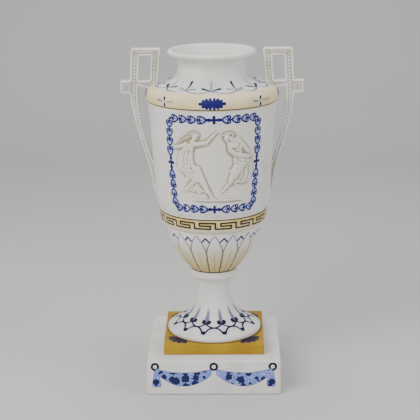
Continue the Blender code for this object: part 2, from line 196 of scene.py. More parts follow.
class Canvas:
    """Node tree of one painted finish, with short calls for its arithmetic."""

    def __init__(self, name: str, clay: Clay | None = None) -> None:
        """Start a material and read the point of the surface in millimetres.

        Args:
            name: name of the material.
            clay: the bare surface to paint on, if it has one.
        """
        self.material = bpy.data.materials.new(name)
        self.material.use_nodes = True
        self.tree = self.material.node_tree
        self.shader = self.tree.nodes["Principled BSDF"]
        source = self.tree.nodes.new("ShaderNodeTexCoord")
        raw = Field(self, source.outputs["Object"])
        self.place = self.vector("SCALE", raw, scale=1.0 / MM)
        split = self.tree.nodes.new("ShaderNodeSeparateXYZ")
        self.link(self.place, split.inputs[0])
        self.x, self.y, self.z = (Field(self, out) for out in split.outputs)
        self.colour: Field | Colour = PIGMENT.bisque
        if clay:
            self.start_with(clay)

    def link(self, value: Amount | Sequence[float], socket: bpy.types.NodeSocket) -> None:
        """Feed a field, number or constant vector into a socket.

        Args:
            value: what is fed.
            socket: the input that takes it.
        """
        if isinstance(value, Field):
            self.tree.links.new(value.socket, socket)
        else:
            socket.default_value = value

    def math(self, operation: str, *values: Amount, clamp: bool = False) -> Field:
        """Add one arithmetic node.

        Args:
            operation: name of the node's operation.
            values: its inputs in order.
            clamp: whether the result is kept between 0 and 1.

        Returns:
            The node's result.
        """
        node = self.tree.nodes.new("ShaderNodeMath")
        node.operation = operation
        node.use_clamp = clamp
        for value, socket in zip(values, node.inputs):
            self.link(value, socket)
        return Field(self, node.outputs[0])

    def vector(self, operation: str, *values: Field | Sequence[float], scale: Amount | None = None) -> Field:
        """Add one vector node.

        Args:
            operation: name of the node's operation.
            values: its vector inputs in order.
            scale: factor, for a SCALE node.

        Returns:
            The node's vector, or its number where the operation gives one.
        """
        node = self.tree.nodes.new("ShaderNodeVectorMath")
        node.operation = operation
        for value, socket in zip(values, node.inputs):
            self.link(value, socket)
        if scale is not None:
            self.link(scale, node.inputs["Scale"])
        single = operation in ("LENGTH", "DISTANCE", "DOT_PRODUCT")
        return Field(self, node.outputs["Value" if single else "Vector"])

    def point(self, across: Amount, up: Amount) -> Field:
        """Join two numbers into a flat point.

        Args:
            across: its distance across.
            up: its height.

        Returns:
            The point.
        """
        node = self.tree.nodes.new("ShaderNodeCombineXYZ")
        self.link(across, node.inputs[0])
        self.link(up, node.inputs[1])
        return Field(self, node.outputs[0])

    def split(self, point: Field) -> tuple[Field, Field]:
        """Split a flat point into two numbers.

        Args:
            point: flat point.

        Returns:
            Its distance across and its height.
        """
        node = self.tree.nodes.new("ShaderNodeSeparateXYZ")
        self.link(point, node.inputs[0])
        return Field(self, node.outputs[0]), Field(self, node.outputs[1])

    def angle(self, turn: float = 0.0) -> Field:
        """Return the angle round the axis, zero at the front plus a turn."""
        around = self.math("ARCTAN2", self.x, self.y * -1.0)
        return around - turn if turn else around

    def radius(self) -> Field:
        """Return the distance from the axis."""
        flat = self.point(self.x, self.y)
        return self.vector("LENGTH", flat)

    def repeat(self, value: Field, half: Amount) -> Field:
        """Repeat a number, so that it runs from minus half to half again and again."""
        return self.math("WRAP", value, half, half * -1.0)

    def fold(self, value: Field, half: Amount) -> Field:
        """Fold a number back and forth, so that it runs from 0 to half and back."""
        return self.math("PINGPONG", value, half)

    def low(self, *values: Amount) -> Field:
        """Return the smallest of several numbers."""
        return reduce(partial(self.math, "MINIMUM"), values)

    def high(self, *values: Amount) -> Field:
        """Return the largest of several numbers."""
        return reduce(partial(self.math, "MAXIMUM"), values)

    def step(self, value: Amount, start: float, end: float) -> Field:
        """Turn a value into a smooth 0 to 1 as it runs from start to end.

        Args:
            value: the value.
            start: where the result leaves 0, above or below the end.
            end: where it reaches 1.

        Returns:
            The smooth step.
        """
        node = self.tree.nodes.new("ShaderNodeMapRange")
        node.interpolation_type = "SMOOTHSTEP"
        self.link(value, node.inputs["Value"])
        node.inputs["From Min"].default_value = min(start, end)
        node.inputs["From Max"].default_value = max(start, end)
        node.inputs["To Min"].default_value = 0.0 if start < end else 1.0
        node.inputs["To Max"].default_value = 1.0 if start < end else 0.0
        return Field(self, node.outputs["Result"])

    def band(self, value: Field, middle: float, half: float, soft: float = 0.18) -> Field:
        """Return a mask of the points within half of the middle value."""
        return self.step(abs(value - middle), half + soft, half - soft)

    def noise(self, size: float, detail: float = 2.0, stretch: Point = (1.0, 1.0)) -> Field:
        """Return soft noise from 0 to 1 with patches of a size in millimetres."""
        return Field(self, self._noise_node(size, detail, stretch).outputs[0])

    def _noise_node(self, size: float, detail: float, stretch: Point) -> bpy.types.Node:
        """Add a noise node over the surface's own point.

        Args:
            size: size of its patches.
            detail: how many finer layers it has.
            stretch: how much longer the patches are, level and upright.

        Returns:
            The node.
        """
        node = self.tree.nodes.new("ShaderNodeTexNoise")
        node.inputs["Scale"].default_value = 1.0 / size
        node.inputs["Detail"].default_value = detail
        place = self.place
        if stretch != (1.0, 1.0):
            flat, tall = stretch
            place = self.vector("MULTIPLY", self.place, (1.0 / flat, 1.0 / flat, 1.0 / tall))
        self.link(place, node.inputs["Vector"])
        return node

    def by_hand(self, point: Field, amount: float, size: float = 7.0) -> Field:
        """Let a drawn point stray, so that lines look painted freehand.

        Args:
            point: flat point.
            amount: how far it strays.
            size: length over which it strays to and fro.

        Returns:
            The moved point.
        """
        stray = Field(self, self._noise_node(size, 1.0, (1.0, 1.0)).outputs[1])
        stray = self.vector("SUBTRACT", stray, (0.5, 0.5, 0.5))
        stray = self.vector("MULTIPLY", stray, (2.0 * amount, 2.0 * amount, 0.0))
        return self.vector("ADD", point, stray)

    def stroke(self, point: Field, start: Point, end: Point, width: float, tip: float | None = None) -> Field:
        """Measure how far a point is outside a brush stroke.

        Args:
            point: flat point.
            start: first end of the stroke.
            end: last end of the stroke.
            width: half width at the start.
            tip: half width at the end, or None for an even stroke.

        Returns:
            The distance, negative inside the stroke.
        """
        run = (end[0] - start[0], end[1] - start[1])
        square = run[0] ** 2 + run[1] ** 2
        offset = self.vector("SUBTRACT", point, (start[0], start[1], 0.0))
        share = self.vector("DOT_PRODUCT", offset, (run[0] / square, run[1] / square, 0.0))
        share = self.math("MULTIPLY", share, 1.0, clamp=True)
        near = self.vector("SCALE", (run[0], run[1], 0.0), scale=share)
        distance = self.vector("DISTANCE", offset, near)
        if tip is None:
            return distance - width
        return distance - self.math("MULTIPLY_ADD", share, tip - width, width)

    def ring(self, point: Field, centre: Point, radius: float, width: float) -> Field:
        """Measure how far a point is outside a drawn circle."""
        distance = self.vector("DISTANCE", point, (centre[0], centre[1], 0.0))
        return abs(distance - radius) - width

    def oval(self, point: Field, centre: Point, half: Point) -> Field:
        """Measure how far a point is outside a filled oval, nearly in millimetres.

        Args:
            point: flat point.
            centre: middle of the oval.
            half: its half width and half height.

        Returns:
            The distance, negative inside the oval.
        """
        offset = self.vector("SUBTRACT", point, (centre[0], centre[1], 0.0))
        offset = self.vector("MULTIPLY", offset, (1.0 / half[0], 1.0 / half[1], 0.0))
        return (self.vector("LENGTH", offset) - 1.0) * min(half)

    def ink(self, distance: Field, soft: float = 0.16) -> Field:
        """Turn a distance into a mask with a slightly soft edge."""
        return self.step(distance, soft, -soft)

    def mix(self, under: Field | Colour, over: Field | Colour, mask: Amount) -> Field:
        """Lay one colour over another through a mask.

        Args:
            under: colour where the mask is 0.
            over: colour where it is 1.
            mask: the mask.

        Returns:
            The mixed colour.
        """
        node = self.tree.nodes.new("ShaderNodeMix")
        node.data_type = "RGBA"
        self.link(mask, node.inputs[0])
        for colour, socket in ((under, node.inputs[6]), (over, node.inputs[7])):
            self.link(colour if isinstance(colour, Field) else (*colour, 1.0), socket)
        return Field(self, node.outputs[2])

    def attribute(self, name: str) -> Field:
        """Read a number that the mesh carries at its points.

        Args:
            name: name of the number.

        Returns:
            The number.
        """
        node = self.tree.nodes.new("ShaderNodeAttribute")
        node.attribute_name = name
        return Field(self, node.outputs["Fac"])

    def start_with(self, clay: Clay) -> None:
        """Set roughness and grain, and start with the cloudy colour of bare clay.

        Args:
            clay: the bare surface.
        """
        cloud = self.noise(clay.cloud, 3.0)
        grain = self.noise(clay.grain, 3.0)
        rough = self.math("MULTIPLY_ADD", cloud, 0.16, clay.roughness - 0.08)
        self.link(rough, self.shader.inputs["Roughness"])
        self.shader.inputs["Specular IOR Level"].default_value = 0.32
        bump = self.tree.nodes.new("ShaderNodeBump")
        bump.inputs["Strength"].default_value = 0.35
        bump.inputs["Distance"].default_value = clay.relief * MM
        self.link(grain, bump.inputs["Height"])
        self.tree.links.new(bump.outputs[0], self.shader.inputs["Normal"])
        self.colour = self.mix(clay.colour, clay.shade, self.step(cloud, 0.42, 0.72))

    def lay(self, over: Field | Colour, mask: Amount) -> None:
        """Lay a colour over what is painted so far, where the mask shows it."""
        self.colour = self.mix(self.colour, over, mask)

    def finish(self) -> bpy.types.Material:
        """Send the colour to the shader and return the material."""
        self.link(self.colour, self.shader.inputs["Base Color"])
        return self.material


@dataclass(frozen=True)
class NeckPaint:
    """White neck with a chain of two kinds of sprig above the shoulder.

    Heights on the flaring foot of the neck are measured as they show from in front.

    Attributes:
        pitch: angle between neighbouring sprigs.
        edge_radius: radius where the white ground meets the yellow band.
        edge_height: height there.
        base: height of the sprigs' roots above that edge.
        drop: how far the swags between them hang down.
    """

    clay: Clay = Clay()
    pitch: float = TAU / 12
    edge_radius: float = 60.6
    edge_height: float = 321.7
    base: float = 3.7
    drop: float = 3.2

    def material(self) -> bpy.types.Material:
        """Draw the sprigs and the swags between them.

        Returns:
            The finished material.
        """
        c = Canvas("neck_paint", self.clay)
        reach = c.radius()
        rise = (self.edge_radius - reach) * SHOWN_DEPTH + (c.z - self.edge_height) * SHOWN_HEIGHT
        across, up = c.split(c.by_hand(c.point(c.angle() * reach, rise), 0.3))
        span = reach * self.pitch
        flat = c.repeat(across, span)
        tall = c.point(c.repeat(across + span, span), up)
        half = span * 0.5
        share = (abs(flat) - half) / half
        low = share * share * self.drop + (self.base - self.drop)
        swag = abs(up - low) * 0.95 - 0.5
        flat = c.point(abs(flat), up)
        base = self.base
        pale = c.stroke(flat, (0.0, base + 3.0), (0.0, base + 10.4), 1.5, 0.8)
        left = c.stroke(tall, (-2.6, base + 0.5), (-8.6, base + 1.7), 0.7, 1.25)
        right = c.stroke(tall, (2.6, base + 0.5), (8.6, base + 1.7), 0.7, 1.25)
        dark = c.low(
            c.stroke(flat, (0.6, base), (9.0, base + 2.5), 0.5, 1.25),
            c.stroke(tall, (0.0, base - 0.9), (0.0, base + 9.4), 0.5, 1.35),
            c.oval(flat, (0.0, base), (1.0, 0.8)),
        )
        c.lay(PIGMENT.halo, c.ink(dark - 1.2, 1.0) * 0.35)
        c.lay(PIGMENT.lilac_grey, c.ink(swag, 0.3))
        c.lay(PIGMENT.grey, c.ink(pale, 0.45) * 0.9)
        c.lay(PIGMENT.grey_green, c.ink(left, 0.5) * 0.85)
        c.lay(PIGMENT.lilac_grey, c.ink(right, 0.5) * 0.8)
        c.lay(PIGMENT.ink, c.ink(dark, 0.22))
        return c.finish()


@dataclass(frozen=True)
class ShoulderPaint:
    """Cream band with a cobalt rosette at the front and crosses beside it.

    Attributes:
        radius: radius that turns an angle into a distance across.
        turn: how far the rosette is off the middle.
        quarter: half the angle between rosettes.
        lower_edge: height of the brown line's underside.
        middle: height of the rosette's and the crosses' middle.
        petals: the petals of one quarter, as (root, tip, half widths).
        heart: half sizes of the rosette's middle.
        cross_place: how far left and right the crosses are, as seen from in front.
    """

    clay: Clay = Clay(PIGMENT.cream, PIGMENT.cream_deep, 22.0)
    radius: float = 70.0
    turn: float = math.radians(0.9)
    quarter: float = TAU / 8
    lower_edge: float = 305.8
    middle: float = 313.4
    petals: tuple[tuple[Point, Point, Point], ...] = (
        ((3.0, 0.0), (12.6, 0.0), (1.8, 1.6)),
        ((2.6, 0.8), (9.6, 2.9), (1.5, 1.45)),
        ((1.8, 1.0), (6.0, 4.3), (1.4, 1.35)),
        ((0.6, 1.2), (2.2, 5.0), (1.3, 1.3)),
    )
    heart: Point = (5.4, 2.5)
    cross_place: float = 48.8

    def material(self) -> bpy.types.Material:
        """Draw the rosettes, the crosses and the brown edge line.

        Returns:
            The finished material.
        """
        c = Canvas("shoulder_paint", self.clay)
        rise = (c.z - self.middle) * SHOWN_HEIGHT + (self.radius - c.radius()) * SHOWN_DEPTH
        across, up = c.split(c.by_hand(c.point(c.angle(self.turn) * self.radius, rise), 0.3, 5.0))
        width = self.quarter * self.radius
        star = c.vector("ABSOLUTE", c.point(c.repeat(across, width), up))
        petals = c.low(*(c.stroke(star, root, tip, *halves) for root, tip, halves in self.petals))
        rosette = c.low(petals, c.oval(star, (0.0, 0.0), self.heart))
        # Drawn as it shows from in front, so that it stands upright there
        sideways = c.x - c.math("SIGN", c.x) * self.cross_place - self.turn * self.radius
        cross = c.point(sideways, up + 0.4)
        drops = c.low(
            c.stroke(cross, (0.0, 1.5), (0.0, 4.0), 0.6, 1.1),
            c.stroke(cross, (0.0, -1.5), (0.0, -4.0), 0.6, 1.1),
        )
        left = c.stroke(cross, (-1.9, 0.0), (-6.4, 0.5), 0.7, 1.2)
        right = c.stroke(cross, (2.0, 0.0), (7.4, 0.5), 0.7, 1.2)
        edge = c.band(c.z, self.lower_edge + 0.8, 0.75, 0.25)
        c.lay(PIGMENT.bisque, c.step(up, -3.0, 7.0) * 0.25)
        c.lay(PIGMENT.halo, c.ink(c.low(rosette, drops) - 1.1, 0.8) * 0.55)
        c.lay(PIGMENT.violet, c.ink(left, 0.4) * 0.75)
        c.lay(PIGMENT.grey_green, c.ink(right, 0.5) * 0.8)
        c.lay(PIGMENT.ink, c.ink(drops))
        outwards = c.oval(star, (0.0, 0.0), (9.5, 4.6))
        blue = c.mix(PIGMENT.cobalt, PIGMENT.ink, c.step(outwards, -1.4, 1.8) * 0.7)
        c.lay(blue, c.ink(rosette, 0.2))
        c.lay(PIGMENT.olive, edge * 0.95)
        return c.finish()


@dataclass(frozen=True)
class BarrelPaint:
    """White barrel with a frame of blue scrolls round the relief panel.

    Attributes:
        turn: how far the painted panel is off the middle.
        radius: radius that turns an angle into a distance across.
        middle: height of the panel's middle.
        half_height: from the middle to the chain above or below.
        half_width: from the middle to the chain at the sides, at mid height.
        bulge: how much closer the side chains are at their ends.
        taper: how much farther out they are at the top than at mid height.
        pitch: length of one pair of scrolls.
        spacing: pairs in a millimetre from the first on, and how that rises.
        first: where the first pair starts, from the middle of a side.
        chain_end: where the last pair ends.
    """

    clay: Clay = Clay()
    turn: float = math.radians(2.3)
    radius: float = 65.0
    middle: float = 248.8
    half_height: float = 47.6
    half_width: float = 49.4
    bulge: float = 2.2
    taper: float = 1.0
    pitch: float = 10.0
    spacing: Point = (0.0946, 0.00024)
    first: float = 7.4
    chain_end: float = 46.0

    def material(self) -> bpy.types.Material:
        """Draw the frame, and tint the carving with painted shade in its hollows and the forms' ochre wash.

        Returns:
            The finished material.
        """
        c = Canvas("barrel_paint", self.clay)
        # Front and back carry the same frame
        around = c.repeat(c.angle(self.turn), math.pi / 2.0)
        hand = c.by_hand(c.point(around * self.radius, c.z - self.middle), 0.35)
        signed = c.split(hand)[1] / self.half_height
        across, up = c.split(c.vector("ABSOLUTE", hand))
        out_side = across - (signed * (signed * -self.bulge + self.taper) + self.half_width)
        out_top = up - self.half_height
        is_top = c.math("GREATER_THAN", out_top, out_side)
        along = up + (across - up) * is_top
        off = abs(out_side + (out_top - out_side) * is_top)

        inside = c.high(out_side, out_top)
        c.lay(PIGMENT.warm_ground, c.step(inside, -2.0, -7.0) * 0.85)
        fill, line = self._chain(c, along, off)
        c.lay(PIGMENT.halo, c.ink(line - 1.4, 1.2) * 0.65)
        c.lay(PIGMENT.sky, fill * c.step(c.noise(9.0), 0.3, 0.6) * 0.75)
        dark = c.mix(PIGMENT.cobalt, PIGMENT.navy, c.step(c.noise(3.0), 0.42, 0.58))
        dark = c.mix(dark, PIGMENT.violet, c.step(c.noise(5.0), 0.60, 0.72) * 0.5)
        c.lay(dark, c.ink(line, 0.2))
        # Painted shade in the carving's hollows and beneath the ground line, and the ochre wash of hair and
        # drapery
        tint = c.attribute("tint") * (c.noise(4.0) + 0.55)
        c.lay(PIGMENT.recess, c.step(tint, 0.04, 0.7) * 0.78)
        c.lay(PIGMENT.ochre, c.step(tint, 0.6, 1.1) * 0.35)
        return c.finish()

    def _chain(self, c: Canvas, along: Field, off: Field) -> tuple[Field, Field]:
        """Draw half a side of the frame, from its middle to its end.

        Args:
            c: canvas of the barrel.
            along: distance from the middle of the side.
            off: distance from the chain's own line.

        Returns:
            The mask of the pale wash, and how far a point is outside the lines.
        """
        start = along - self.first
        number = start * (start * self.spacing[1] + self.spacing[0])
        inner = c.math("FRACT", number) * self.pitch
        point = c.point(inner, off)
        root = c.stroke(point, (0.2, 0.2), (2.3, 2.4), 1.05, 0.85)
        arm = c.stroke(point, (2.3, 2.4), (4.7, 3.6), 0.85, 0.85)
        shoulder = c.stroke(point, (4.7, 3.6), (7.2, 3.8), 0.85, 0.9)
        loop = c.ring(point, (7.4, 2.35), 1.45, 0.72)
        stem = c.stroke(point, (4.0, 0.0), (self.pitch, 0.0), 0.4, 0.9)
        scrolls = c.low(root, arm, shoulder, loop, stem)
        end = self.chain_end
        scrolls = c.high(scrolls, self.first - along, along - end)
        whole = c.point(along, off)
        cross = c.low(
            c.stroke(whole, (0.0, 0.0), (0.0, 3.1), 1.25, 1.5),
            c.stroke(whole, (0.0, 0.0), (2.6, 0.0), 1.1, 1.5),
            c.stroke(whole, (2.6, 0.0), (5.0, 0.0), 0.9, 2.0),
            c.stroke(whole, (5.0, 0.0), (7.6, 0.0), 2.0, 1.2),
            c.oval(whole, (end + 0.5, 0.0), (1.35, 1.35)),
        )
        envelope = c.low(inner * 1.05, 3.8)
        fill = c.ink(off - envelope, 0.6) * c.step(along, self.first - 0.6, self.first + 0.6)
        fill = fill * c.step(along, end + 0.5, end - 1.5) * c.step(inner, self.pitch - 0.4, self.pitch - 2.2)
        return fill, c.low(scrolls, cross)


@dataclass(frozen=True)
class KeyPaint:
    """Yellow band with a running key in one brown line.

    Attributes:
        repeats: keys round the band.
        turn: where the first key starts.
        radius: radius of the band.
        top_bar, middle_bar, bottom_bar: heights of the key's level strokes.
        fold_start, fold_end: where its fold starts and ends, as a share of one key.
        line: half width of the stroke.
        edge_line: height of the brown line at the band's top.
    """

    clay: Clay = Clay(PIGMENT.key_yellow, PIGMENT.cream, 14.0)
    repeats: int = 16
    turn: float = math.radians(3.0)
    radius: float = 57.0
    top_bar: float = 185.2
    middle_bar: float = 182.2
    bottom_bar: float = 178.9
    fold_start: float = 0.25
    fold_end: float = 0.76
    line: float = 0.98
    edge_line: float = 188.9

    def material(self) -> bpy.types.Material:
        """Draw the key and its upper line.

        Returns:
            The finished material.
        """
        c = Canvas("key_paint", self.clay)
        width = TAU / self.repeats * self.radius
        across, up = c.split(c.by_hand(c.point(c.angle(self.turn) * self.radius, c.z), 0.25, 5.0))
        hand = c.point(c.math("WRAP", across, width, 0.0), up)
        start, end = self.fold_start * width, self.fold_end * width
        top, middle, bottom = self.top_bar, self.middle_bar, self.bottom_bar
        strokes = [
            ((0.0, top), (0.0, bottom)),
            ((0.0, bottom), (end, bottom)),
            ((end, bottom), (end, middle)),
            ((end, middle), (start, middle)),
            ((start, middle), (start, top)),
            ((start, top), (width, top)),
            ((width, top), (width, bottom)),
            ((width, bottom), (width + 2.0, bottom)),
            ((-2.0, top), (0.0, top)),
        ]
        key = c.low(*(c.stroke(hand, a, b, self.line) for a, b in strokes))
        c.lay(PIGMENT.bisque, c.step(c.z, self.middle_bar + 2.0, 173.0) * 0.62)
        c.lay(PIGMENT.brown, c.ink(key, 0.2))
        c.lay(PIGMENT.brown, c.band(c.z, self.edge_line, 0.9, 0.25) * 0.95)
        c.lay(PIGMENT.olive, c.band(c.z, 173.2, 0.25, 0.35) * 0.35)
        return c.finish()


@dataclass(frozen=True)
class LeafCut:
    """Outline of the leaves round the bowl, shared by their carving and their paint.

    Attributes:
        leaves: broad leaves round the bowl.
        turn: how far the first is off the middle.
        shoulder: height where the broad leaves start to narrow.
        apex: height of their points.
        power: how late their sides close.
    """

    leaves: int = 16
    turn: float = math.radians(2.3)
    shoulder: float = 147.5
    apex: float = 169.8
    power: float = 1.6


@dataclass(frozen=True)
class BowlPaint:
    """Leaves that turn from white tips to an ochre base, with blue tips between.

    Attributes:
        cut: the carving that the paint follows.
        chevron_top: height of the blue tips.
        chevron: how far their ends are across and down from there.
    """

    cut: LeafCut
    # The bowl's clay is painted lighter than the rest, as painted light thrown up from below
    clay: Clay = Clay(PIGMENT.bounce_lit_bisque, PIGMENT.bisque)
    chevron_top: float = 166.8
    chevron: Point = (4.1, 4.5)

    def material(self) -> bpy.types.Material:
        """Draw the leaves' outlines, veins and tips.

        Returns:
            The finished material.
        """
        c = Canvas("bowl_paint", self.clay)
        cut = self.cut
        half = math.pi / cut.leaves
        reach = c.radius()
        angled, up = c.split(c.by_hand(c.point(c.angle(cut.turn) * reach, c.z), 0.2))
        across = c.fold(angled, reach * half)
        between = reach * half - across
        rise = c.math("MULTIPLY_ADD", up, 1.0 / (cut.apex - cut.shoulder),
                      -cut.shoulder / (cut.apex - cut.shoulder), clamp=True)
        width = (1.0 - c.math("POWER", rise, cut.power)) * half * reach
        outline = abs(across - width) * 0.93
        below = c.step(c.z, cut.apex + 0.2, cut.apex - 0.6)
        streak = c.noise(1.2, 2.0, (1.0, 8.0))
        depth = c.step(c.z, 167.0, 128.0)
        c.lay(PIGMENT.ochre_pale, depth * (streak * 0.7 + 0.48))
        c.lay(PIGMENT.ochre, c.step(c.z, 138.0, 121.5) * (streak * 0.5 + 0.1))
        ribs = abs(c.math("SINE", (across * 1.5 - c.z * 0.7))) * c.step(c.z, 162.0, 148.0)
        c.lay(PIGMENT.recess, c.step(ribs, 0.80, 1.0) * streak * 0.55)
        vein = c.step(across, 0.62, 0.15) * c.step(c.z, 153.0, 146.0)
        c.lay(PIGMENT.olive, vein * 0.5)
        line = c.step(outline, 0.92, 0.4) * below
        shade = c.mix(PIGMENT.lilac_grey, PIGMENT.olive, c.step(c.z, 158.0, 144.0))
        c.lay(shade, line * 0.88)
        tip = c.point(between, up)
        end = (self.chevron[0], self.chevron_top - self.chevron[1])
        blue = c.stroke(tip, (0.0, self.chevron_top), end, 0.85)
        c.lay(PIGMENT.halo, c.ink(blue - 1.0, 0.8) * 0.4)
        c.lay(PIGMENT.navy, c.ink(blue, 0.2))
        c.lay(PIGMENT.brown, c.band(c.z, 121.6, 0.6, 0.35) * 0.9)
        return c.finish()


@dataclass(frozen=True)
class FootPaint:
    """White stem and foot with a ring of linked lozenges and sprigs.

    Attributes:
        units: sprigs round the foot.
        crossing: radius where the upper and lower arcs touch.
        blob: radius of the dots at the bottom.
        dots: radius of the paired dots.
        stalk_top: height where the grey stalks end.
    """

    clay: Clay = Clay()
    units: int = 12
    crossing: float = 37.4
    blob: float = 43.2
    dots: float = 31.6
    stalk_top: float = 80.0

    def material(self) -> bpy.types.Material:
        """Draw the lozenges, dots, stalks and the rust line under the rim.

        Returns:
            The finished material.
        """
        c = Canvas("foot_paint", self.clay)
        half = math.pi / self.units
        reach = c.radius()
        across, out = c.split(c.by_hand(c.point(c.angle() * reach, reach), 0.3))
        folded = c.fold(across, reach * half)
        # Sprigs stand between the folds, so the front shows the joint of two
        side = reach * half - folded
        point = c.point(side, out)
        joint = c.point(folded, out)
        upper = c.ring(joint, (0.0, self.crossing - 10.0), 10.1, 0.9)
        lower = c.ring(joint, (0.0, self.crossing + 10.2), 10.0, 0.9)
        upper = c.high(upper, (self.dots + 0.6) - reach)
        lower = c.high(lower, reach - self.blob)
        spots = c.low(
            c.oval(point, (2.9, self.dots), (2.3, 2.2)),
            c.oval(point, (0.0, self.blob + 0.6), (2.8, 2.2)),
        )
        fill = c.oval(point, (0.0, self.crossing + 0.2), (4.4, 5.4))
        stalk = c.stroke(c.point(side, c.z), (0.0, 66.8), (0.0, self.stalk_top - 1.6), 2.3, 1.5)
        drawn = c.low(upper, lower, spots)
        glow = c.ink(c.low(fill, drawn - 1.2), 1.0) * c.step(c.z, 76.0, 72.0)
        c.lay(PIGMENT.halo, glow * 0.6)
        c.lay(PIGMENT.lilac_grey, c.ink(stalk, 0.4) * c.step(c.z, 80.0, 74.0) * 0.95)
        c.lay(PIGMENT.grey_green, c.ink(stalk, 0.5) * c.step(c.z, 70.0, 75.0) * 0.5)
        c.lay(PIGMENT.ink, c.ink(drawn, 0.2) * c.step(c.z, 74.0, 72.0))
        c.lay(PIGMENT.rust, c.step(c.z, 51.8, 50.9) * 0.8)
        c.lay(PIGMENT.ochre_pale, c.band(c.z, 118.4, 0.5, 1.2) * 0.4)
        c.lay(PIGMENT.brown, c.step(c.z, 120.0, 120.8) * 0.85)
        return c.finish()


@dataclass(frozen=True)
class SlabPaint:
    """Yellow ochre slab with a dark palmette at each corner of its top.

    Attributes:
        top: height of the slab's top.
        fan_from: where the petals of a corner spread from.
        petals: turns of the petals from the diagonal.
        root, tip: distances of a petal's ends from there.
    """

    clay: Clay = Clay(PIGMENT.slab, PIGMENT.slab_light, 30.0, 1.1, 0.5)
    top: float = 50.3
    fan_from: float = 32.5
    petals: tuple[float, ...] = (0.0, 0.44, 0.88)
    root: float = 5.5
    tip: float = 14.0

    def material(self) -> bpy.types.Material:
        """Draw the four fans of petals.

        Returns:
            The finished material.
        """
        c = Canvas("slab_paint", self.clay)
        across, deep = c.split(c.vector("ABSOLUTE", c.by_hand(c.point(c.x, c.y), 0.3)))
        corner = c.point(c.high(across, deep) - self.fan_from, c.low(across, deep) - self.fan_from)
        strokes = []
        for turn in self.petals:
            way = (math.cos(TAU / 8.0 - turn), math.sin(TAU / 8.0 - turn))
            root = (self.root * way[0], self.root * way[1])
            tip = (self.tip * way[0], self.tip * way[1])
            strokes.append(c.stroke(corner, root, tip, 1.5, 2.9))
        petals = c.low(*strokes)
        on_top = c.step(c.z, self.top - 0.5, self.top - 0.2)
        shade = c.mix(PIGMENT.plum, PIGMENT.violet, c.step(petals, -1.4, -2.4) * c.noise(4.0) * 0.3)
        c.lay(shade, c.ink(petals, 0.3) * on_top)
        c.lay(PIGMENT.brown, c.band(c.radius(), 51.2, 0.6, 0.5) * on_top * 0.75)
        return c.finish()


@dataclass(frozen=True)
class PlinthPaint:
    """White plinth with pale blue cloth swags hung from three dark rings.

    Attributes:
        side: width of the plinth.
        hook: distance from the middle ring to the outer ones.
        hook_height: height of the rings.
        hook_radius: radius of a ring.
        swag_top: height of the swag's centre line at its ends.
        sag: how far the swag's middle hangs below its ends.
        thin, swell: half width of the swag at its ends, and how much it gains.
        hem: height of the tails' ends.
    """

    clay: Clay = Clay(cloud=34.0)
    side: float = 142.0
    hook: float = 62.2
    hook_height: float = 32.0
    hook_radius: float = 3.4
    swag_top: float = 26.9
    sag: float = 9.4
    thin: float = 3.1
    swell: float = 4.7
    hem: float = 8.6

    def material(self) -> bpy.types.Material:
        """Draw the rings, swags, tails and flowers on all four sides.

        Returns:
            The finished material.
        """
        c = Canvas("plinth_paint", self.clay)
        # Each side is painted alike: the coordinate along it is the smaller one
        is_front = c.math("GREATER_THAN", abs(c.y), abs(c.x))
        face = c.high(abs(c.x), abs(c.y))
        hand = c.by_hand(c.point(c.y + (c.x - c.y) * is_front, c.z), 0.5, 9.0)
        across, up = c.split(hand)
        along = abs(across)
        half = self.hook / 2.0
        share = (along - half) / (half - 1.5)
        square = share * share
        centre = self.swag_top - self.sag * (1.0 - square)
        thick = self.thin + self.swell * (1.0 - square)
        swag = c.high(abs(up - centre) - thick, abs(share) * half - half + 1.0)
        point = c.point(along, up)
        tail = c.stroke(point, (self.hook - 1.3, 28.2), (self.hook - 1.6, 12.6), 2.2, 4.9)
        ruffle = abs(c.math("SINE", along * 1.25)) * 0.9
        tail = c.high(tail, self.hem - up + ruffle)
        cloth = c.low(swag, tail)
        rings = c.low(
            c.ring(point, (self.hook, self.hook_height), self.hook_radius, 1.25),
            c.ring(point, (0.0, self.hook_height), self.hook_radius, 1.25),
        )
        gap = c.oval(point, (self.hook - 1.8, self.hook_height - 3.4), (1.5, 1.7))
        rings = c.high(rings, gap * -1.0)
        on_side = c.step(face, self.side / 2.0 - 1.2, self.side / 2.0 - 0.7)
        folds = c.noise(1.4, 2.0, (5.0, 1.0))
        cloth_mask = c.ink(cloth, 0.35) * on_side
        c.lay(PIGMENT.sky, cloth_mask * 0.88)
        c.lay(PIGMENT.halo, cloth_mask * c.step(folds, 0.54, 0.68) * 0.65)
        c.lay(PIGMENT.navy, cloth_mask * c.step(folds, 0.42, 0.30) * 0.4)
        rim = c.ink(abs(cloth + 0.2) - 0.3, 0.3) * on_side
        c.lay(PIGMENT.navy, rim * 0.5)
        spot = c.oval(point, (self.hook - 0.9, 14.8), (3.7, 3.4))
        flowers = c.ink(cloth + 0.5) * self._flowers(c, square)
        c.lay(PIGMENT.navy, c.high(flowers, c.ink(spot, 0.3)) * on_side * 0.97)
        c.lay(PIGMENT.ink, c.ink(rings, 0.22) * on_side)
        return c.finish()

    def _flowers(self, c: Canvas, square: Field) -> Field:
        """Scatter dark flowers over the middle of each swag.

        Args:
            c: canvas of the plinth.
            square: place along the swag, squared, 0 in its middle and 1 at its ends.

        Returns:
            The mask of the flowers.
        """
        node = c.tree.nodes.new("ShaderNodeTexVoronoi")
        node.feature = "SMOOTH_F1"
        node.inputs["Scale"].default_value = 1.0 / 8.4
        node.inputs["Smoothness"].default_value = 0.3
        node.inputs["Randomness"].default_value = 0.9
        c.link(c.place, node.inputs["Vector"])
        ruffle = c.noise(2.6, 2.0)
        distance = Field(c, node.outputs["Distance"]) + (ruffle - 0.5) * 0.55 + square * 0.2
        return c.step(distance, 0.56, 0.48)


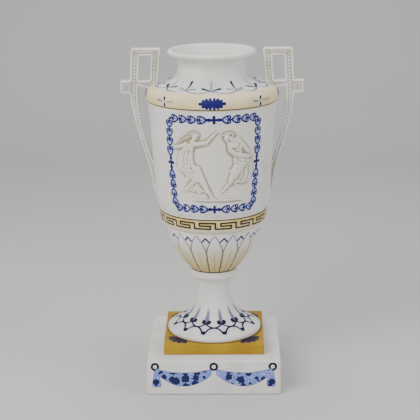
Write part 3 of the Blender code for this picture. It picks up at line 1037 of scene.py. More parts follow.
@dataclass(frozen=True)
class HandlePaint:
    """White handles with painted shade, in dark ochre brown, in their beaded channels."""

    clay: Clay = Clay(grain=1.1)

    def material(self) -> bpy.types.Material:
        """Tint the channels with painted shade.

        Returns:
            The finished material.
        """
        c = Canvas("handle_paint", self.clay)
        tint = c.attribute("tint")
        c.lay(PIGMENT.recess, tint * (c.noise(6.0) * 0.75 + 0.25))
        return c.finish()


@dataclass(frozen=True)
class BareClay:
    """Unpainted inside of the vase."""

    clay: Clay = Clay(PIGMENT.bisque_shade, PIGMENT.bisque, 40.0)

    def material(self) -> bpy.types.Material:
        """Return the plain clay."""
        return Canvas("bare_clay", self.clay).finish()


def add_object(name: str, data: bpy.types.ID) -> bpy.types.Object:
    """Link a new object to the scene.

    Args:
        name: its name.
        data: its mesh, light or camera.

    Returns:
        The object.
    """
    result = bpy.data.objects.new(name, data)
    bpy.context.scene.collection.objects.link(result)
    return result


class Shell:
    """Vertices and faces of a mesh, gathered ring by ring.

    Edges sharper than CREASE degrees stay sharp.
    """

    CREASE = 40.0

    def __init__(self) -> None:
        """Start with nothing."""
        self.points: list[np.ndarray] = []
        self.tints: list[np.ndarray] = []
        self.faces: list[np.ndarray] = []
        self.triangles: list[tuple[int, int, int]] = []
        self.face_finish: list[np.ndarray] = []
        self.triangle_finish: list[int] = []
        self.count = 0
        self.last: Ring | None = None

    def ring(
        self, angles: np.ndarray, radii: np.ndarray, height: float, tint: np.ndarray, finish: int
    ) -> None:
        """Add a ring, joined to the last one or closed if it is the first.

        Args:
            angles: rising angles of the points.
            radii: their distances from the axis.
            height: height of the ring.
            tint: how much each point is tinted.
            finish: number of the faces' finish.
        """
        heights = np.full_like(angles, height)
        self.points.append(np.stack([radii * np.sin(angles), -radii * np.cos(angles), heights], 1))
        self.tints.append(tint)
        ring = (angles, self.count)
        self.count += len(angles)
        below, self.last = self.last, ring
        if below is None:
            self.cap(height, finish, up=False)
        else:
            self.join(below, ring, finish)

    def join(self, lower: Ring, upper: Ring, finish: int) -> None:
        """Fill between two rings, whose points may stand at different angles.

        Args:
            lower: the first ring.
            upper: the second ring.
            finish: number of the faces' finish.
        """
        low_angles, low_first = lower
        high_angles, high_first = upper
        low_count, high_count = len(low_angles), len(high_angles)
        if low_count == high_count and np.allclose(low_angles, high_angles):
            index = np.arange(low_count)
            after = (index + 1) % low_count
            corners = (low_first + index, low_first + after, high_first + after, high_first + index)
            self.faces.append(np.stack(corners, 1))
            self.face_finish.append(np.full(low_count, finish))
            return
        low = np.append(low_angles, low_angles[0] + TAU)
        high = np.append(high_angles, high_angles[0] + TAU)
        i = j = 0
        while i < low_count or j < high_count:
            take_low = j >= high_count or (i < low_count and low[i + 1] <= high[j + 1])
            here = low_first + i % low_count
            there = high_first + j % high_count
            if take_low:
                i += 1
                self.triangles.append((here, low_first + i % low_count, there))
            else:
                j += 1
                self.triangles.append((here, high_first + j % high_count, there))
            self.triangle_finish.append(finish)

    def cap(self, height: float, finish: int, up: bool) -> None:
        """Close the last ring with a point on the axis.

        Args:
            height: height of the point.
            finish: number of the faces' finish.
            up: whether the faces look up.
        """
        angles, first = self.last
        centre = self.count
        self.points.append(np.array([[0.0, 0.0, height]]))
        self.tints.append(np.zeros(1))
        self.count += 1
        for index in range(len(angles)):
            after = (index + 1) % len(angles)
            corner = (first + index, first + after, centre)
            self.triangles.append(corner if up else corner[::-1])
            self.triangle_finish.append(finish)

    def to_object(self, name: str, materials: Sequence[bpy.types.Material]) -> bpy.types.Object:
        """Make the object.

        Args:
            name: name of the piece.
            materials: finishes, in the order that the faces number them.

        Returns:
            The object, linked to the scene.
        """
        quads = np.concatenate(self.faces) if self.faces else np.zeros((0, 4), int)
        triangles = np.array(self.triangles, int).reshape(-1, 3)
        mesh = bpy.data.meshes.new(name)
        points = np.concatenate(self.points) * MM
        mesh.vertices.add(len(points))
        mesh.vertices.foreach_set("co", points.astype(np.float32).ravel())
        corners = np.concatenate([quads.ravel(), triangles.ravel()]).astype(np.int32)
        sizes = np.concatenate([np.full(len(quads), 4), np.full(len(triangles), 3)]).astype(np.int32)
        starts = np.concatenate([[0], np.cumsum(sizes)[:-1]]).astype(np.int32)
        mesh.loops.add(len(corners))
        mesh.loops.foreach_set("vertex_index", corners)
        mesh.polygons.add(len(sizes))
        mesh.polygons.foreach_set("loop_start", starts)
        finishes = np.concatenate([*self.face_finish, np.array(self.triangle_finish, int)]).astype(np.int32)
        mesh.polygons.foreach_set("material_index", finishes)
        mesh.update(calc_edges=True)
        layer = mesh.attributes.new("tint", "FLOAT", "POINT")
        layer.data.foreach_set("value", np.concatenate(self.tints).astype(np.float32))
        mesh.validate()
        for material in materials:
            mesh.materials.append(material)
        mesh.shade_smooth()
        mesh.set_sharp_from_angle(angle=math.radians(self.CREASE))
        return add_object(name, mesh)


def smooth_line(points: Sequence[Point], spacing: float) -> np.ndarray:
    """Draw a smooth curve through points.

    Args:
        points: the points, as (height, radius).
        spacing: longest gap between neighbouring points of the result.

    Returns:
        The curve's points.
    """
    line = np.array(points, float)
    padded = np.concatenate([[2 * line[0] - line[1]], line, [2 * line[-1] - line[-2]]])
    result = [line[0]]
    for p0, p1, p2, p3 in zip(padded, padded[1:], padded[2:], padded[3:]):
        steps = max(1, math.ceil(np.hypot(*(p2 - p1)) / spacing))
        gaps = [max(np.hypot(*(b - a)), 1e-6) ** 0.5 for a, b in ((p0, p1), (p1, p2), (p2, p3))]
        knots = np.cumsum([0.0, *gaps])
        for step in range(1, steps + 1):
            t = knots[1] + (knots[2] - knots[1]) * step / steps
            a1 = (p0 * (knots[1] - t) + p1 * (t - knots[0])) / (knots[1] - knots[0])
            a2 = (p1 * (knots[2] - t) + p2 * (t - knots[1])) / (knots[2] - knots[1])
            a3 = (p2 * (knots[3] - t) + p3 * (t - knots[2])) / (knots[3] - knots[2])
            b1 = (a1 * (knots[2] - t) + a2 * (t - knots[0])) / (knots[2] - knots[0])
            b2 = (a2 * (knots[3] - t) + a3 * (t - knots[1])) / (knots[3] - knots[1])
            result.append((b1 * (knots[2] - t) + b2 * (t - knots[1])) / (knots[2] - knots[1]))
    return np.array(result)


@dataclass
class Carving:
    """Grid of heights and tints that the relief's forms are laid on in turn.

    Attributes:
        across: distance across at each point of the grid.
        up: height at each point.
        height: how far the relief stands out.
        wash: how much ochre the forms are given.
    """

    across: np.ndarray
    up: np.ndarray
    height: np.ndarray
    wash: np.ndarray

    def raise_to(self, height: np.ndarray, wash: float) -> None:
        """Keep the higher of the present and a given surface.

        Args:
            height: the given surface.
            wash: how much ochre it has where it shows.
        """
        shown = height > self.height
        self.wash = np.where(shown, wash, self.wash)
        self.height = np.maximum(self.height, height)

    def run_along(self, start: Point, end: Point) -> Pair:
        """Measure each point of the grid against a straight stretch.

        Args:
            start: first end of the stretch.
            end: last end of the stretch.

        Returns:
            Each point's place along it, from 0 to 1, and its distance.
        """
        run_x, run_z = end[0] - start[0], end[1] - start[1]
        square = run_x ** 2 + run_z ** 2 + 1e-9
        share = ((self.across - start[0]) * run_x + (self.up - start[1]) * run_z) / square
        share = np.clip(share, 0.0, 1.0)
        return share, np.hypot(self.across - start[0] - run_x * share, self.up - start[1] - run_z * share)


@dataclass(frozen=True)
class Limb:
    """One tapered, rounded stretch of a relief figure.

    Attributes:
        path: points along its middle, as (across, height).
        widths: half width at each point.
        relief: how far its middle rises over its sides.
        tint: how much ochre it is given all over.
        base: how far its sides stand out.
    """

    path: tuple[Point, ...]
    widths: tuple[float, ...]
    relief: float
    tint: float = 0.0
    base: float = 0.0

    def cut(self, carving: Carving) -> None:
        """Lay the limb on the carving.

        Args:
            carving: the relief so far.
        """
        raised = np.full_like(carving.across, -1.0)
        path, widths = self.path, self.widths
        if len(path) == 1:
            path, widths = path * 2, widths * 2
        for start, end, wide, narrow in zip(path, path[1:], widths, widths[1:]):
            share, distance = carving.run_along(start, end)
            width = wide + (narrow - wide) * share
            bulge = np.sqrt(np.clip(1.0 - (distance / width) ** 2, 0.0, 1.0))
            bulge = bulge * self.relief * np.clip(width / 2.6, 0.45, 1.0)
            raised = np.maximum(raised, np.where(distance < width, self.base + bulge, -1.0))
        carving.raise_to(raised, self.tint)


@dataclass(frozen=True)
class Sheet:
    """A flat form with soft edges, such as drapery or a bodice.

    Attributes:
        outline: its corners in order, as (across, height).
        relief: height just inside its edges.
        dome: how much higher its middle is.
        tint: how much ochre it is given all over.
        edge: width over which its edges rise.
    """

    outline: tuple[Point, ...]
    relief: float
    dome: float = 0.0
    tint: float = 0.0
    edge: float = 1.1

    def cut(self, carving: Carving) -> None:
        """Lay the sheet on the carving.

        Args:
            carving: the relief so far.
        """
        across, up = carving.across, carving.up
        inside = np.zeros(across.shape, bool)
        nearest = np.full(across.shape, 1e6)
        for start, end in zip(self.outline, (*self.outline[1:], self.outline[0])):
            nearest = np.minimum(nearest, carving.run_along(start, end)[1])
            if start[1] != end[1]:
                meets = start[0] + (up - start[1]) / (end[1] - start[1]) * (end[0] - start[0])
                inside ^= ((start[1] > up) != (end[1] > up)) & (across < meets)
        pillow = np.sqrt(np.clip(nearest / self.edge, 0.0, 1.0))
        surface = self.relief * pillow + self.dome * (1.0 - np.exp(-nearest / 2.5))
        carving.raise_to(np.where(inside, surface, -1.0), self.tint)


@dataclass(frozen=True)
class Crease:
    """A line drawn over the forms so far: a groove, or a fold where its depth is negative.

    Attributes:
        path: points along it, as (across, height).
        depth: how deep it is.
        width: how wide it is.
    """

    path: tuple[Point, ...]
    depth: float = 0.8
    width: float = 0.8

    def cut(self, carving: Carving) -> None:
        """Lower or raise the carving along the line.

        Args:
            carving: the relief so far.
        """
        nearest = np.full_like(carving.across, 1e6)
        for start, end in zip(self.path, self.path[1:]):
            nearest = np.minimum(nearest, carving.run_along(start, end)[1])
        line = self.depth * np.exp(-(nearest / self.width) ** 2)
        lowered = np.maximum(carving.height - line, 0.1)
        carving.height = np.where(carving.height > 0.1, lowered, carving.height)


Form = Limb | Sheet | Crease


def striding_dancer() -> list[Form]:
    """Shape the left dancer, who strides to the right with one arm raised.

    Returns:
        The forms, in the order in which they are laid.
    """
    drapery = (
        (-29.0, 266.0), (-34.2, 261.0), (-37.0, 253.0), (-37.0, 244.0), (-33.0, 239.0), (-31.0, 241.0),
        (-32.4, 246.0), (-31.6, 256.0), (-28.0, 264.0),
    )
    hem = (
        (-14.8, 232.0), (-19.2, 227.5), (-24.9, 222.3), (-27.3, 219.5), (-23.6, 220.6), (-20.0, 219.4),
        (-16.6, 220.0), (-13.2, 216.6), (-10.6, 219.6), (-7.9, 219.6), (-4.9, 217.4), (-5.8, 221.0),
        (-11.3, 226.0), (-11.0, 232.0),
    )
    gown = (
        (-25.5, 271.8), (-14.6, 272.6), (-16.6, 268.0), (-18.3, 262.7), (-18.9, 254.2), (-17.6, 249.5),
        (-14.6, 246.0), (-14.0, 239.0), (-24.0, 238.6), (-31.2, 241.3), (-33.0, 245.3), (-33.0, 253.8),
        (-31.2, 262.0), (-29.4, 267.0),
    )
    return [
        Sheet(drapery, 0.9),
        Crease(((-30.0, 265.0), (-34.5, 256.0), (-35.4, 244.0)), -0.6),
        Crease(((-28.6, 264.0), (-32.6, 255.0), (-33.6, 243.0)), -0.6),
        Crease(((-31.4, 262.0), (-36.2, 250.0), (-36.0, 242.6)), 0.35, 0.5),
        Sheet(((-27.0, 236.8), (-21.4, 233.2), (-26.0, 228.8), (-29.6, 230.6)), 0.8, 0.2),
        Crease(((-28.6, 233.4), (-24.6, 230.8)), 0.5, 0.5),
        Limb(((-18.2, 231.3), (-28.4, 221.4)), (2.6, 1.6), 1.9),
        Limb(((-29.0, 221.8), (-27.6, 219.4)), (1.3, 1.0), 1.7),
        Limb(((-16.0, 243.0), (-9.0, 229.6), (-3.6, 220.0), (-0.4, 214.6)), (5.2, 3.4, 2.2, 1.6), 2.3),
        Limb(((-1.6, 213.6), (2.6, 212.4)), (1.3, 0.9), 1.8),
        Sheet(hem, 1.1, 0.5),
        Crease(((-17.0, 229.0), (-21.0, 221.0)), 0.75),
        Crease(((-14.6, 229.0), (-16.6, 220.6)), 0.75),
        Crease(((-13.4, 229.0), (-12.8, 218.0)), 0.75),
        Crease(((-12.0, 227.0), (-8.6, 220.0)), 0.75),
        Limb(((-25.4, 243.6), (-17.4, 233.2)), (6.4, 4.0), 2.2, base=0.5),
        Limb(((-20.2, 243.0), (-14.4, 232.6)), (3.4, 2.6), 2.1, base=0.5),
        Crease(((-22.6, 234.4), (-20.4, 232.2)), 1.1, 0.8),
        Sheet(gown, 1.5, 0.6),
        Limb(((-20.5, 266.2),), (2.7,), 1.0, base=1.9),
        Limb(((-25.6, 265.6),), (2.7,), 1.0, base=1.9),
        Crease(((-19.9, 266.8), (-22.6, 262.9), (-23.8, 259.1)), 0.8),
        Crease(((-27.0, 263.0), (-28.6, 256.0), (-28.0, 248.0)), 0.8),
        Crease(((-24.6, 257.0), (-24.4, 249.0)), 0.7),
        Crease(((-30.2, 262.0), (-31.2, 254.0), (-30.6, 246.0)), 0.6),
        Crease(((-21.0, 258.0), (-21.4, 250.0), (-20.2, 244.0)), 0.6),
        Crease(((-30.0, 246.4), (-26.6, 244.2), (-23.4, 245.8), (-20.6, 244.8), (-18.1, 240.4)), 0.9, 0.6),
        Crease(((-28.6, 242.4), (-24.4, 238.0), (-21.0, 234.6)), 0.7),
        Crease(((-24.4, 243.4), (-20.6, 238.6), (-18.0, 235.0)), 0.7),
        Limb(((-15.8, 268.6), (-8.9, 270.0), (-3.8, 270.9)), (1.5, 1.2, 0.7), 1.5),
        Limb(((-25.6, 270.4), (-32.0, 267.6), (-38.4, 265.8)), (2.6, 2.1, 1.5), 2.2, base=0.6),
        Limb(
            ((-14.5, 271.0), (-5.0, 272.8), (3.2, 281.8), (6.4, 284.6)),
            (2.2, 1.9, 1.1, 0.6), 2.3, base=0.4,
        ),
        Limb(((-18.0, 271.4), (-14.5, 271.0)), (2.6, 2.3), 1.4, base=1.4),
        Limb(((-17.2, 276.6), (-19.0, 272.8)), (2.2, 2.4), 2.2, base=0.6),
        Limb(((-23.0, 281.0), (-30.0, 280.8)), (0.6, 0.3), 1.0, 0.5),
        *curls(
            (-24.2, 277.4, 1.9), (-27.2, 275.6, 1.8), (-30.0, 273.6, 1.6), (-32.2, 271.4, 1.3),
            (-21.8, 277.8, 1.5),
        ),
        *calm_head((-16.0, 278.8), 1.0),
        *curls(
            (-12.4, 280.4, 1.2), (-13.6, 281.9, 1.4), (-15.8, 282.7, 1.5), (-18.2, 282.6, 1.5),
            (-20.4, 281.6, 1.6), (-21.6, 279.7, 1.5), (-19.7, 279.5, 1.4),
        ),
    ]


def bending_dancer() -> list[Form]:
    """Shape the right dancer, who bends forward with one hand at the face.

    Returns:
        The forms, in the order in which they are laid.
    """
    drapery = (
        (38.8, 253.1), (41.3, 253.8), (44.4, 246.9), (44.3, 239.5), (43.2, 233.8), (40.6, 230.4),
        (36.5, 228.6), (31.3, 227.6), (27.2, 228.6), (23.3, 227.2), (21.1, 229.0), (23.3, 233.6),
        (25.0, 246.0), (36.0, 250.2),
    )
    front_folds = (
        (20.9, 244.0), (16.2, 244.3), (12.6, 244.5), (13.4, 240.0), (12.2, 235.5), (13.6, 232.0),
        (12.6, 227.5), (16.3, 229.2), (18.8, 234.7),
    )
    gown = (
        (18.8, 275.4), (22.6, 278.1), (27.0, 274.8), (30.4, 268.6), (31.0, 262.0), (29.6, 258.8),
        (24.0, 259.0), (20.6, 262.0), (17.4, 266.0), (17.6, 269.0), (16.6, 272.8),
    )
    hips = (
        (21.9, 258.2), (30.0, 260.0), (38.8, 254.6), (38.4, 250.0), (36.0, 246.6), (24.0, 246.6),
        (21.6, 250.6),
    )
    return [
        Sheet(drapery, 1.1, 0.3, 0.12),
        Crease(((38.4, 250.0), (33.9, 243.1), (33.0, 235.8), (30.0, 230.6)), 0.8),
        Crease(((40.6, 250.0), (38.4, 243.0), (39.1, 237.1), (36.7, 231.0)), 0.8),
        Crease(((42.6, 246.0), (42.4, 238.0), (40.0, 232.0)), 0.7),
        Crease(((30.6, 244.0), (28.6, 236.0), (26.4, 231.6)), 0.7),
        Crease(((25.6, 231.6), (27.2, 229.5), (31.3, 228.3), (35.5, 229.0), (38.2, 230.6)), -0.6, 0.6),
        Limb(((23.3, 227.2), (27.2, 225.8), (31.9, 224.7)), (1.2, 1.2, 0.8), 1.1),
        Limb(((36.7, 231.0), (42.6, 231.7)), (1.2, 0.8), 1.4),
        Sheet(front_folds, 0.8, 0.3),
        Crease(((17.6, 243.0), (16.8, 236.0), (14.6, 229.0)), 0.6),
        Crease(((15.2, 243.4), (14.6, 238.0), (14.4, 233.0)), 0.5),
        Limb(
            ((25.6, 275.6), (28.4, 272.2), (33.8, 266.2), (38.8, 260.6), (42.6, 257.0)),
            (2.8, 2.8, 2.6, 2.2, 1.2), 1.5,
        ),
        Crease(((30.6, 271.0), (35.4, 265.6), (40.6, 259.4)), 0.6, 0.5),
        Limb(((18.0, 229.0), (12.6, 222.6), (8.8, 218.1)), (2.1, 1.5, 1.0), 1.9),
        Limb(((9.6, 218.8), (7.0, 216.4)), (1.1, 0.8), 1.6),
        Limb(
            ((30.0, 249.6), (24.2, 240.6), (20.0, 234.0), (18.6, 229.4)),
            (6.4, 5.4, 3.5, 2.4), 2.1, base=0.6,
        ),
        Crease(((27.6, 244.6), (22.6, 242.6), (19.4, 242.8)), 0.5, 0.5),
        Crease(((25.6, 240.2), (21.2, 238.0), (18.8, 238.6)), 0.5, 0.5),
        Crease(((23.0, 236.0), (19.6, 233.6), (17.6, 234.4)), 0.5, 0.5),
        Sheet(hips, 1.6, 0.7),
        Crease(((24.0, 256.0), (29.0, 251.4), (36.4, 250.6)), 0.7),
        Crease(((23.0, 252.4), (27.0, 248.0)), 0.6),
        Crease(((32.0, 256.6), (36.6, 252.4)), 0.6),
        Sheet(gown, 1.5, 0.6),
        Limb(((20.6, 268.8),), (2.5,), 0.8, base=1.9),
        Limb(((24.8, 268.4),), (2.4,), 0.8, base=1.9),
        Crease(((20.0, 266.4), (23.0, 265.2), (26.0, 266.4), (27.6, 270.6)), 0.8),
        Crease(((21.0, 263.8), (25.0, 262.2), (29.4, 263.6)), 0.6),
        Limb(((17.6, 269.0), (18.4, 264.0), (19.6, 262.6)), (2.3, 2.3, 2.2), 1.9, base=0.9),
        Limb(
            ((19.4, 263.0), (23.4, 259.8), (30.0, 258.0), (39.0, 256.3)),
            (2.3, 2.4, 2.4, 1.6), 1.5, base=1.9,
        ),
        Limb(((39.0, 256.3), (42.4, 255.4)), (1.5, 0.9), 1.6, base=1.0),
        Limb(((18.6, 276.3), (20.6, 274.6)), (2.4, 2.4), 2.0, base=0.6),
        Limb(((17.6, 270.6), (16.8, 272.0), (12.9, 276.9)), (1.7, 1.6, 1.2), 1.9, base=0.6),
        *calm_head((14.9, 277.9), -1.0),
        *curls(
            (18.6, 278.2, 1.4), (20.6, 278.4, 1.4), (21.2, 280.2, 1.4), (19.6, 281.6, 1.5),
            (17.2, 282.2, 1.5), (14.6, 281.9, 1.4), (12.3, 280.9, 1.3), (10.8, 279.8, 1.0),
        ),
    ]


def calm_head(centre: Point, facing: float) -> list[Form]:
    """Shape a calm, plain face turned a little to one side.

    Args:
        centre: middle of the face.
        facing: 1 to look to the right and -1 to look to the left.

    Returns:
        Its forms, from the oval to the features.
    """
    x, z = centre
    return [
        Limb(((x, z + 0.4), (x + 0.3 * facing, z - 0.9)), (3.0, 2.6), 2.2, base=0.8),
        Crease(((x + 1.0 * facing, z + 0.9), (x + 1.5 * facing, z - 0.7)), -0.45, 0.5),
        Crease(((x - 0.6 * facing, z + 0.4), (x + 0.2 * facing, z + 0.4)), 0.5, 0.45),
        Crease(((x + 2.0 * facing, z + 0.4), (x + 2.5 * facing, z + 0.4)), 0.45, 0.4),
        Crease(((x + 0.6 * facing, z - 1.9), (x + 1.6 * facing, z - 1.9)), 0.45, 0.4),
    ]


def curls(*places: tuple[float, float, float]) -> list[Limb]:
    """Shape round curls of hair, each given as (across, height, radius)."""
    return [Limb(((x, z),), (radius,), 1.3, 0.62, 1.3) for x, z, radius in places]


class Layer(Enum):
    """Names of the fields that the panel keeps on its grid."""

    HEIGHT = "height"
    TINT = "tint"


@dataclass
class Panel:
    """Low relief of two dancers on the front of the barrel.

    Attributes:
        radius: radius that turns an angle into a distance across.
        left, right, bottom, top: sides of the finely meshed ground.
        step: spacing of its grid.
        ledge: ends of the ground line under the feet.
        ledge_shade: ends of the painted shade beneath it, laid in ochre.
    """

    radius: float = 62.5
    left: float = -44.0
    right: float = 49.0
    bottom: float = 204.0
    top: float = 290.0
    step: float = 0.5
    ledge: tuple[Point, Point] = ((-20.0, 211.4), (32.0, 210.8))
    ledge_shade: tuple[Point, Point] = ((-16.0, 209.7), (32.0, 209.1))
    grid: dict[Layer, np.ndarray] = field(default_factory=dict)

    def columns(self) -> np.ndarray:
        """Return distances across, one for each column of the grid."""
        return np.linspace(self.left, self.right, round((self.right - self.left) / self.step) + 1)

    def rows(self) -> np.ndarray:
        """Return heights, one for each row of the grid."""
        return np.linspace(self.bottom, self.top, round((self.top - self.bottom) / self.step) + 1)

    def carve(self) -> None:
        """Work out the height of the whole grid, and its tint: painted shade in the hollows and beneath the
        ground line, and the forms' ochre wash.
        """
        across, up = np.meshgrid(self.columns(), self.rows())
        carving = Carving(across, up, np.zeros_like(across), np.zeros_like(across))
        # The first ground limb is a low strip tinted as painted shade beneath the ground line
        ground = [Limb(self.ledge_shade, (0.9, 0.9), 0.3, 0.7), Limb(self.ledge, (0.9, 0.8), 2.2)]
        for form in [*ground, *striding_dancer(), *bending_dancer()]:
            form.cut(carving)
        height, wash = carving.height, carving.wash
        rough = np.sin(across * 2.1 + np.sin(up * 1.3) * 2.0) * np.sin(up * 2.3 + np.sin(across * 1.7))
        height = self._blur(height + wash * 0.5 * rough, 0.34)
        # Hollows below the softened surface are tinted as painted shade
        recess = self._blur(height, 1.4) - height
        tint = np.clip(recess * 2.6 - 0.08, 0.0, 1.0) + wash * (0.6 + 0.4 * rough)
        self.grid = {Layer.HEIGHT: height, Layer.TINT: np.clip(tint, 0.0, 1.2)}

    def _blur(self, values: np.ndarray, reach: float) -> np.ndarray:
        """Soften a grid by a bell curve.

        Args:
            values: the grid.
            reach: reach of the curve, in millimetres.

        Returns:
            The softened grid.
        """
        half = max(1, math.ceil(reach * 3.0 / self.step))
        offsets = np.arange(-half, half + 1) * self.step
        bell = np.exp(-0.5 * (offsets / reach) ** 2)
        bell /= bell.sum()
        padded = np.pad(values, half, mode="edge")
        rows = sum(w * padded[:, i:i + values.shape[1]] for i, w in enumerate(bell))
        return sum(w * rows[i:i + values.shape[0], :] for i, w in enumerate(bell))

    def row_at(self, angles: np.ndarray, height: float) -> Pair:
        """Read relief and tint along one ring.

        Args:
            angles: angles round the axis.
            height: height of the ring.

        Returns:
            How far each point stands out, and its tint.
        """
        if not self.bottom <= height <= self.top:
            return np.zeros_like(angles), np.zeros_like(angles)
        place = (height - self.bottom) / (self.top - self.bottom) * (len(self.rows()) - 1)
        low = min(int(place), len(self.rows()) - 2)
        share = place - low
        across = angles * self.radius
        result = []
        for kind in Layer:
            values = self.grid[kind]
            line = values[low] * (1.0 - share) + values[low + 1] * share
            result.append(np.interp(across, self.columns(), line, left=0.0, right=0.0))
        return result[0], result[1]


def ramp(value: float, start: float, end: float) -> float:
    """Return 0 to 1 as a value runs from start to end."""
    return min(max((value - start) / (end - start), 0.0), 1.0)


@dataclass
class LeafBowl:
    """Carved leaves round the bowl.

    Attributes:
        cut: outline of the leaves.
        middle_radius: radius that turns a share of a leaf into a distance.
        relief: height of a broad leaf.
        small_relief: height of a leaf between the broad ones.
        small_top: height where those end.
        groove, groove_width: depth and width of the line round each leaf.
        vein, vein_width: depth and width of a leaf's vein.
        vein_top: height where the veins end.
        base, top: heights between which the carving lies.
    """

    cut: LeafCut = LeafCut()
    middle_radius: float = 44.0
    relief: float = 1.0
    small_relief: float = 0.55
    small_top: float = 168.8
    groove: float = 0.55
    groove_width: float = 0.55
    vein: float = 0.3
    vein_width: float = 0.5
    vein_top: float = 154.0
    base: float = 121.0
    top: float = 171.4

    def row_at(self, angles: np.ndarray, height: float) -> Pair:
        """Return the carving along one ring.

        Args:
            angles: angles round the axis.
            height: height of the ring.

        Returns:
            How far each point stands out, and no tint.
        """
        cut = self.cut
        pitch = TAU / cut.leaves
        offset = np.abs(((angles - cut.turn) / pitch + 0.5) % 1.0 - 0.5) * 2.0
        width = max(1.0 - ramp(height, cut.shoulder, cut.apex) ** cut.power, 1e-3)
        fade = ramp(height, self.base, self.base + 7.0) * ramp(height, self.top, self.top - 3.0)
        broad = np.clip(1.0 - (offset / width) ** 2, 0.0, 1.0) ** 0.7
        narrow = np.clip(1.0 - ((1.0 - offset) / max(1.0 - width, 1e-3)) ** 2, 0.0, 1.0) ** 0.7
        tip = ramp(height, self.small_top, self.small_top - 4.0)
        circle = self.middle_radius * pitch / 2.0
        line = np.exp(-((offset - width) * circle / self.groove_width) ** 2)
        vein = np.exp(-(offset * circle / self.vein_width) ** 2)
        vein = vein * ramp(height, self.vein_top, self.vein_top - 8.0)
        raised = self.relief * broad + self.small_relief * narrow * tip
        raised = raised - self.groove * line - self.vein * vein
        return raised * fade, np.zeros_like(angles)


def plain_row(angles: np.ndarray, height: float) -> Pair:
    """Return no relief and no tint, whatever the height."""
    return np.zeros_like(angles), np.zeros_like(angles)


def even_angles(count: int) -> np.ndarray:
    """Return evenly spread angles from the back round to the back."""
    return (np.arange(count) / count - 0.5) * TAU


